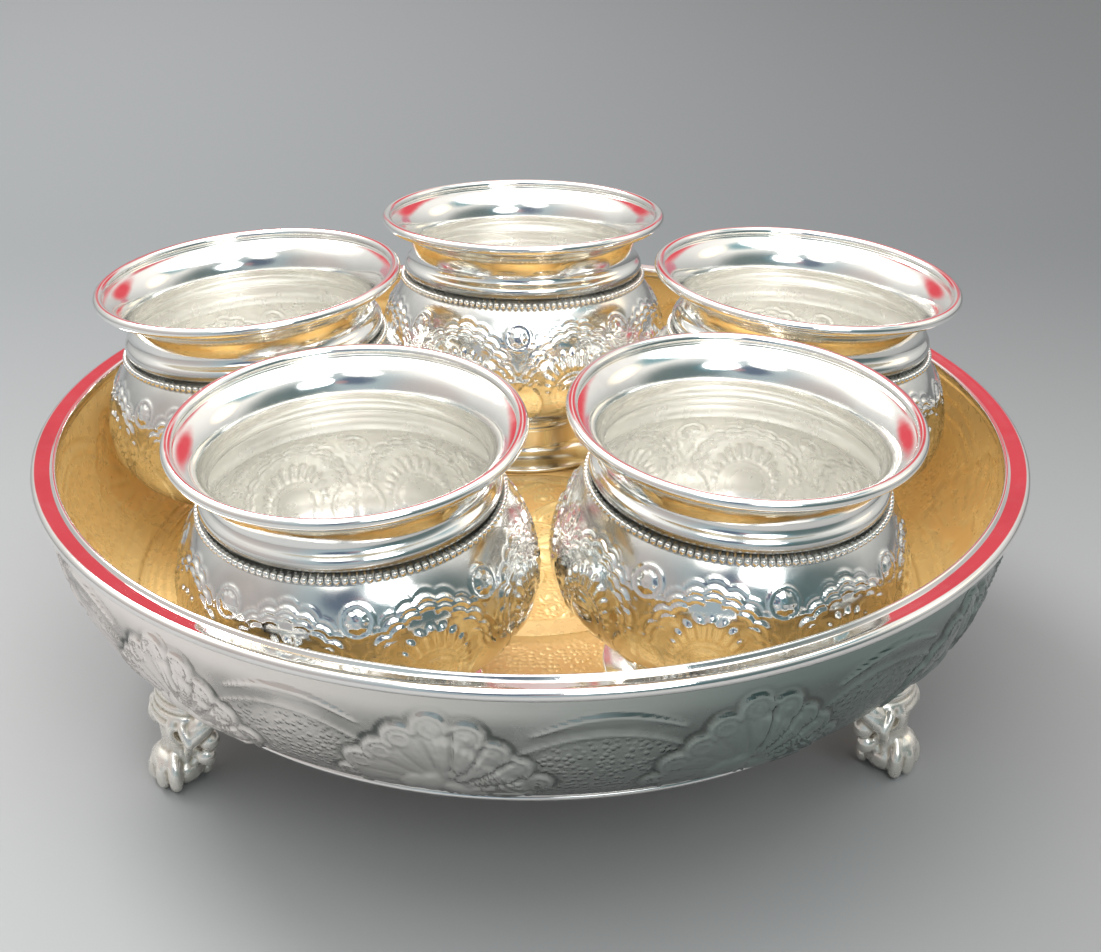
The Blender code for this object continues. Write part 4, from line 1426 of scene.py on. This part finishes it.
@dataclass
class CastFoot:
    """Cast scroll foot: flange, cabriole leg with a volute, hoof and curled side leaves.

    Attributes:
        circle: Radius of the fixing.
        height: Height of the dish's underside.
        under_floor: Height of the flange's seat under the floor.
        slope: Slope of that seat in degrees.
        flange_radius: Radius of the flange.
        flange_thickness: Its thickness.
        knee: How far the knee stands out from the fixing.
        ankle: How far the ankle does.
        ankle_height: Height of the ankle.
        paw: How far the hoof stands out from the fixing.
        voxel: Size of the cells in which the lumps are fused.
    """

    circle: float
    height: float
    under_floor: float
    slope: float = FLOOR_SLOPE
    flange_radius: float = 0.0072
    flange_thickness: float = 0.0016
    knee: float = 0.0160
    ankle: float = 0.0148
    ankle_height: float = 0.0105
    paw: float = 0.0168
    voxel: float = 0.00034

    def leg(self, metal: Lumps) -> None:
        """Adds the flange, the leg and the gadroons over its knee."""
        x, top = self.circle, self.height
        seat = Matrix.Rotation(math.radians(self.slope), 4, "Y")
        low = self.under_floor - self.flange_thickness / 2
        for radius in (0.35, 0.75, 1.0):
            metal.add((x, 0, low), (self.flange_radius * radius, self.flange_radius * radius,
                                    self.flange_thickness / 2 * (1.3 - 0.3 * radius)), seat)
        knee = x + self.knee
        metal.chain([(x, 0, top - 0.0026, 0.0042, 0.0056, 0.0026),
                     (x + 0.0075, 0, top - 0.0044, 0.0044, 0.0062, 0.0038),
                     (knee - 0.0026, 0, top - 0.0064, 0.0044, 0.0060, 0.0048),
                     (knee - 0.0020, 0, top - 0.0115, 0.0042, 0.0052, 0.0044),
                     (x + self.ankle - 0.0008, 0, self.ankle_height - 0.0005, 0.0040, 0.0044, 0.0036),
                     (x + self.paw - 0.0020, 0, 0.0058, 0.0042, 0.0048, 0.0040)])
        for level in range(4):
            reach = 0.0044 + 0.0005 * level
            drop = top - 0.0030 - 0.0019 * level
            row = [(knee - 0.0034 + reach * math.cos(a), (reach + 0.0022) * math.sin(a), drop, 0.0009)
                   for a in np.radians(np.linspace(-86, 86, 9))]
            metal.chain(row, 5)

    def volute(self, metal: Lumps) -> None:
        """Adds the rolled scroll on each side of the knee, with its eye."""
        centre = (self.circle + self.knee - 0.0016, self.height - 0.0102)
        for side in (-1, 1):
            row = []
            for step in range(15):
                angle = math.radians(100 - 38 * step)
                reach = 0.0042 * (1 - step / 16)
                row.append((centre[0] + reach * math.cos(angle), side * (0.0046 + 0.00007 * step),
                            centre[1] + reach * math.sin(angle), 0.0010, 0.0012, 0.0010))
            metal.chain(row, 4)
            metal.add((centre[0], side * 0.0056, centre[1]), (0.0013, 0.0014, 0.0013))
            metal.chain([(centre[0] + 0.0004, side * 0.0048, centre[1] - 0.0040, 0.0010),
                         (centre[0] - 0.0018, side * 0.0052, centre[1] - 0.0056, 0.0010),
                         (centre[0] - 0.0030, side * 0.0048, centre[1] - 0.0076, 0.0010),
                         (centre[0] - 0.0016, side * 0.0044, centre[1] - 0.0094, 0.0009)])

    def hoof(self, metal: Lumps) -> None:
        """Adds the hoof with its heel ball, toes and split front."""
        x = self.circle + self.paw - 0.0006
        metal.add((x - 0.0014, 0, 0.0040), (0.0056, 0.0060, 0.0041))
        metal.add((x + 0.0006, 0, 0.0058), (0.0038, 0.0050, 0.0036))
        metal.add((x - 0.0066, 0, 0.0027), (0.0022, 0.0040, 0.0026))
        for turn in (-64, -22, 22, 64):
            angle = math.radians(turn)
            metal.chain([(x + 0.0014 * math.cos(angle), 0.0030 * math.sin(angle), 0.0082, 0.0012),
                         (x + 0.0032 * math.cos(angle), 0.0049 * math.sin(angle), 0.0054, 0.0016),
                         (x + 0.0035 * math.cos(angle), 0.0056 * math.sin(angle), 0.0024, 0.0015),
                         (x + 0.0029 * math.cos(angle), 0.0050 * math.sin(angle), 0.0009, 0.0009)])

    def wing(self, metal: Lumps, side: int) -> None:
        """Adds the leaf flap, its two knobs and the strip that joins them to the leg.

        Args:
            side: 1 or -1.
        """
        x, top = self.circle, self.height
        tilt = Matrix.Rotation(side * math.radians(30), 4, "X") @ Matrix.Rotation(math.radians(30), 4, "Y")
        metal.add((x + 0.0096, side * 0.0062, top - 0.0068), (0.0070, 0.0052, 0.0026), tilt)
        metal.chain([(x + 0.0040, side * 0.0034, top - 0.0036, 0.0022),
                     (x + 0.0078, side * 0.0080, top - 0.0058, 0.0019),
                     (x + 0.0120, side * 0.0096, top - 0.0082, 0.0018),
                     (x + 0.0150, side * 0.0090, top - 0.0112, 0.0015),
                     (x + 0.0152, side * 0.0074, top - 0.0146, 0.0010)])
        metal.chain([(x + 0.0140, side * 0.0050, top - 0.0064, 0.0013),
                     (x + 0.0160, side * 0.0074, top - 0.0084, 0.0012),
                     (x + 0.0156, side * 0.0096, top - 0.0112, 0.0012)])
        metal.add((x + 0.0110, side * 0.0092, top - 0.0118), (0.0024, 0.0023, 0.0024))
        metal.add((x + 0.0116, side * 0.0084, top - 0.0162), (0.0022, 0.0020, 0.0022))
        metal.chain([(x + 0.0130, side * 0.0086, top - 0.0096, 0.0010),
                     (x + 0.0144, side * 0.0076, top - 0.0126, 0.0010),
                     (x + 0.0134, side * 0.0072, top - 0.0158, 0.0011),
                     (x + 0.0126, side * 0.0056, top - 0.0150, 0.0011),
                     (x + 0.0132, side * 0.0034, top - 0.0136, 0.0012)])

    def mesh(self) -> bpy.types.Mesh:
        """Sculpts the foot and fuses it into one skin.

        Returns:
            The closed mesh, with the foot towards +X.
        """
        metal = Lumps(10, 16)
        self.leg(metal)
        self.volute(metal)
        self.hoof(metal)
        for side in (-1, 1):
            self.wing(metal, side)
        guide = bpy.data.objects.new("foot_guide", metal.mesh("foot_rough"))
        bpy.context.scene.collection.objects.link(guide)
        remesh = guide.modifiers.new("skin", "REMESH")
        remesh.mode = "VOXEL"
        remesh.voxel_size = self.voxel
        soften = guide.modifiers.new("soften", "SMOOTH")
        soften.factor = 0.5
        soften.iterations = 2
        bpy.context.view_layer.update()
        graph = bpy.context.evaluated_depsgraph_get()
        mesh = bpy.data.meshes.new_from_object(guide.evaluated_get(graph))
        bpy.data.objects.remove(guide)
        places = np.empty(len(mesh.vertices) * 3, dtype=np.float32)
        mesh.vertices.foreach_get("co", places)
        places = places.reshape(-1, 3)
        places[:, 2] = np.maximum(places[:, 2], 0.0)
        mesh.vertices.foreach_set("co", places.reshape(-1))
        mesh.name = "cast_foot"
        mesh.shade_smooth()
        add_mask(mesh, "hollow", self.creases(mesh, places))
        return mesh

    def creases(self, mesh: bpy.types.Mesh, places: np.ndarray) -> np.ndarray:
        """How deep each point lies in a crease, from its neighbours.

        Args:
            mesh: The foot.
            places: Its points.

        Returns:
            One number from 0 to 1 for each point.
        """
        edges = np.empty(len(mesh.edges) * 2, dtype=np.int32)
        mesh.edges.foreach_get("vertices", edges)
        first, second = edges.reshape(-1, 2).T
        normals = np.empty(len(places) * 3, dtype=np.float32)
        mesh.vertices.foreach_get("normal", normals)
        count = np.bincount(first, minlength=len(places)) + np.bincount(second, minlength=len(places))
        soft = places.astype(float)
        for _ in range(10):
            total = np.zeros_like(soft)
            for axis in range(3):
                total[:, axis] = (np.bincount(first, soft[second, axis], len(soft))
                                  + np.bincount(second, soft[first, axis], len(soft)))
            soft = 0.4 * soft + 0.6 * total / np.maximum(count, 1)[:, None]
        lift = np.einsum("ij,ij->i", soft - places, normals.reshape(-1, 3))
        return soft_step(lift / MM, -0.03, 0.16)

    def build(self, finish: bpy.types.Material) -> None:
        """Places the three feet.

        Args:
            finish: The cast metal's material.
        """
        shared = self.mesh()
        shared.materials.append(finish)
        for place in FootPlace:
            mesh = shared.copy()
            angle = math.radians(BACK_ANGLE + RING_TURN + 360 / len(FootPlace) * place.order)
            mesh.transform(Matrix.Rotation(angle, 4, "Z"))
            node = "foot_" + place.label
            new_piece(node + "_cast", mesh, "plate", "cast_foot_metal", node)


@dataclass(frozen=True)
class Glow:
    """Soft patch of coloured light round the object.

    Attributes:
        azimuth: Degrees from +X towards +Y.
        elevation: Degrees above the horizon.
        width: Degrees from its middle to where it has faded.
        colour: Its colour.
        share: How much it covers what is behind it.
        core: Share of its width inside which it is full.
    """

    azimuth: float
    elevation: float
    width: float
    colour: Colour
    share: float = 1.0
    core: float = 0.35


@dataclass
class Studio:
    """Pale floor, soft light and the camera.

    Attributes:
        unit: The length that the camera's place is measured in.
        rim_height: Height of the plate's rim.
        place: The camera's place in units, with its height over the rim.
        focal: Focal length in pixels of the photograph.
        image_width: Width of the photograph in pixels.
        sensor_width: Width of the camera's sensor in millimetres.
        shift: Shift of the view in pixels of the photograph, across and up.
        pitch: Degrees by which the camera looks down.
        near_table: The table's colours in front, left and right, the right one darker as painted shade for
            light that falls from the left.
        far_table: Its colours at the back, left and right, with the same painted shade on the right.
        horizon: Colour of the surroundings low down.
        zenith: Their colour overhead.
        strength: Strength of their light.
        glows: Patches of colour in them.
    """

    unit: float
    rim_height: float
    place: tuple[float, float, float] = (-0.064, -5.471, 2.552)
    focal: float = 1885.0
    image_width: float = 1101.0
    sensor_width: float = 36.0
    shift: tuple[float, float] = (41.5, 51.0)
    pitch: float = 28.1
    near_table: tuple[Colour, Colour] = ((0.375, 0.383, 0.387), (0.315, 0.321, 0.324))
    far_table: tuple[Colour, Colour] = ((0.205, 0.219, 0.226), (0.125, 0.137, 0.141))
    horizon: Colour = (0.46, 0.47, 0.47)
    zenith: Colour = (1.32, 1.30, 1.25)
    strength: float = 0.85
    glows: tuple[Glow, ...] = (
        Glow(104, 25, 16, (0.92, 0.11, 0.14), 1.0),
        Glow(72, 25, 16, (0.92, 0.11, 0.14), 1.0),
        Glow(68, 7, 9, (0.75, 0.17, 0.25), 0.8),
        Glow(110, 7, 8, (0.75, 0.17, 0.25), 0.6),
        Glow(88, 44, 10, (0.80, 0.04, 0.08), 0.9),
        Glow(270, 12, 75, (0.40, 0.52, 0.58), 0.85),
        Glow(320, 8, 45, (0.07, 0.13, 0.13), 0.85),
        Glow(262, 30, 17, (0.07, 0.11, 0.20), 0.85),
        Glow(294, 30, 17, (0.10, 0.26, 0.32), 0.85),
        Glow(274, 28, 6, (0.75, 0.36, 0.34), 0.5),
        Glow(5, 58, 20, (0.20, 0.42, 0.48), 0.9),
        Glow(20, 34, 15, (2.2, 1.9, 1.5), 0.8),
        Glow(205, 4, 45, (0.60, 0.52, 0.50), 0.7),
        Glow(252, 50, 13, (3.2, 3.2, 3.1), 0.9),
        Glow(292, 52, 10, (3.0, 3.0, 3.0), 0.9),
        Glow(150, 55, 30, (2.0, 1.95, 1.85), 0.8),
    )

    def camera(self) -> None:
        """Puts the camera at the photograph's viewing angle."""
        data = bpy.data.cameras.new("camera")
        data.sensor_width = self.sensor_width
        data.lens = self.focal * self.sensor_width / self.image_width
        data.shift_x = self.shift[0] / self.image_width
        data.shift_y = self.shift[1] / self.image_width
        camera = bpy.data.objects.new("camera", data)
        bpy.context.scene.collection.objects.link(camera)
        across, away, above = self.place
        camera.location = (across * self.unit, away * self.unit, above * self.unit + self.rim_height)
        camera.rotation_euler = (math.radians(90 - self.pitch), 0, 0)
        bpy.context.scene.camera = camera

    def floor(self) -> None:
        """Lays a pale table whose far part is a soft grey, and whose right side is darker as painted shade
        for light from the left.
        """
        bpy.ops.mesh.primitive_grid_add(x_subdivisions=8, y_subdivisions=8, size=6.0, location=(0, 0.4, 0))
        table = bpy.context.object
        table.name = "table"
        material = bpy.data.materials.new("pale_table")
        material.use_nodes = True
        board = NodeBoard(material.node_tree)
        shader = material.node_tree.nodes["Principled BSDF"]
        shader.inputs["Roughness"].default_value = 0.75
        shader.inputs["Specular IOR Level"].default_value = 0.25
        where = board.add("ShaderNodeTexCoord").outputs["Object"]
        axes = board.add("ShaderNodeSeparateXYZ")
        board.link(where, axes.inputs[0])
        # Painted shade: the table gets darker from left to right, standing in for light that falls from the
        # left.
        side = board.remap(axes.outputs["X"], (-0.25, 0.35), (0.0, 1.0))
        far = board.remap(axes.outputs["Y"], (-0.51, -0.08), (0.0, 1.0))
        near_colour = board.blend(side, *self.near_table)
        far_colour = board.blend(side, *self.far_table)
        board.link(board.blend(far, near_colour, far_colour), shader.inputs["Base Color"])
        table.data.materials.append(material)

    def world(self) -> None:
        """Surrounds the object with soft light and patches of colour for the metal to show."""
        world = bpy.data.worlds.new("studio")
        bpy.context.scene.world = world
        world.use_nodes = True
        board = NodeBoard(world.node_tree)
        back = world.node_tree.nodes["Background"]
        where = board.add("ShaderNodeTexCoord").outputs["Generated"]
        axes = board.add("ShaderNodeSeparateXYZ")
        board.link(where, axes.inputs[0])
        up = board.remap(axes.outputs["Z"], (-0.2, 0.95), (0.0, 1.0))
        colour = board.blend(up, self.horizon, self.zenith)
        for glow in self.glows:
            azimuth = math.radians(glow.azimuth)
            elevation = math.radians(glow.elevation)
            towards = board.add("ShaderNodeVectorMath", operation="DOT_PRODUCT")
            board.link(where, towards.inputs[0])
            towards.inputs[1].default_value = (math.cos(azimuth) * math.cos(elevation),
                                               math.sin(azimuth) * math.cos(elevation), math.sin(elevation))
            edges = (math.cos(math.radians(glow.width)), math.cos(math.radians(glow.width * glow.core)))
            mask = board.remap(towards.outputs["Value"], edges, (0.0, glow.share))
            colour = board.blend(mask, colour, glow.colour)
        board.link(colour, back.inputs["Color"])
        back.inputs["Strength"].default_value = self.strength

    def lamps(self) -> None:
        """Hangs one large soft lamp behind to the left, one above and a small one in front."""
        for name, place, size, power in (("key", (-0.55, 0.55, 0.95), 0.55, 9.0),
                                         ("top", (0.05, 0.02, 1.3), 1.7, 9.5),
                                         ("fill", (0.35, -0.9, 0.75), 0.5, 2.2)):
            data = bpy.data.lights.new(name, "AREA")
            data.shape = "DISK"
            data.size = size
            data.energy = power
            lamp = bpy.data.objects.new(name, data)
            bpy.context.scene.collection.objects.link(lamp)
            lamp.location = place
            lamp.rotation_euler = (-Vector(place)).to_track_quat("-Z", "Y").to_euler()

    def build(self) -> None:
        """Sets up the view, the floor and the light."""
        self.camera()
        self.floor()
        self.world()
        self.lamps()
        bpy.context.scene.view_settings.view_transform = "Standard"


def finishes() -> dict[str, bpy.types.Material]:
    """Makes the object's materials.

    Returns:
        The materials by name.
    """
    table = {
        "bowl": MetalFinish("bowl_silver", (0.96, 0.955, 0.93), (0.24, 0.24, 0.22), 0.10, 0.34),
        "ring_foot": MetalFinish("ring_foot_silver", (0.92, 0.91, 0.87), (0.45, 0.43, 0.39), 0.14, 0.30),
        "rim": MetalFinish("rim_silver", (0.92, 0.90, 0.88), (0.42, 0.39, 0.34), 0.07, 0.30),
        # The outside's last colour is painted shade for its right side.
        "dish_outside": MetalFinish("dish_silver", (1.0, 0.93, 0.88), (0.14, 0.15, 0.14), 0.15, 0.38,
                                    turned=0.00004, painted_side_shade=(0.25, 0.31, 0.29)),
        "dish_inside": MetalFinish("dish_gilt", (1.0, 0.74, 0.33), (1.0, 0.58, 0.20), 0.28, 0.36,
                                   grain=0.00012, metallic=0.22),
        "cast": MetalFinish("cast_silver", (0.98, 0.94, 0.87), (0.36, 0.30, 0.20), 0.26, 0.46,
                            hammer=0.00012, metallic=0.85),
        "rivet": MetalFinish("rivet_silver", (0.80, 0.78, 0.74), (0.40, 0.37, 0.32), 0.26, 0.40),
    }
    return {name: finish.material() for name, finish in table.items()}


def main() -> None:
    """Builds the studio and every piece, in order."""
    logging.basicConfig(level=logging.INFO, format="%(message)s")
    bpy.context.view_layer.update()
    dish_low, dish_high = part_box("dish")
    dish = Dish(radius=(dish_high[0] - dish_low[0]) / 2, rim_height=dish_high[2] - Dish.bead_height,
                base_height=dish_low[2])
    studio = Studio(unit=Bowl.diameter, rim_height=dish.rim_height)
    studio.build()
    metals = finishes()
    dish.build(metals)

    first = Bowl(BowlPlace.BACK, BOWL_SEAT_CIRCLE, dish.floor_height)
    meshes = {"body_embossed": first.body_mesh(), "bead_row": first.bead_mesh(),
              "ring_foot_spun": first.ring_foot_mesh()}
    for kind, finish in (("body_embossed", "bowl"), ("bead_row", "bowl"), ("ring_foot_spun", "ring_foot")):
        meshes[kind].materials.append(metals[finish])
    for place in BowlPlace:
        Bowl(place, BOWL_SEAT_CIRCLE, dish.floor_height).build(meshes, place.label + "_bowl")

    under_floor = dish.floor_height(FOOT_CIRCLE) - dish.sheet - CLEARANCE
    CastFoot(FOOT_CIRCLE, dish.base_height, under_floor).build(metals["cast"])
    for place in FootPlace:
        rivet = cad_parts["rivet_" + place.label]
        for item in rivet.material_slots:
            item.material = metals["rivet"]


if __name__ == "__main__":
    main()
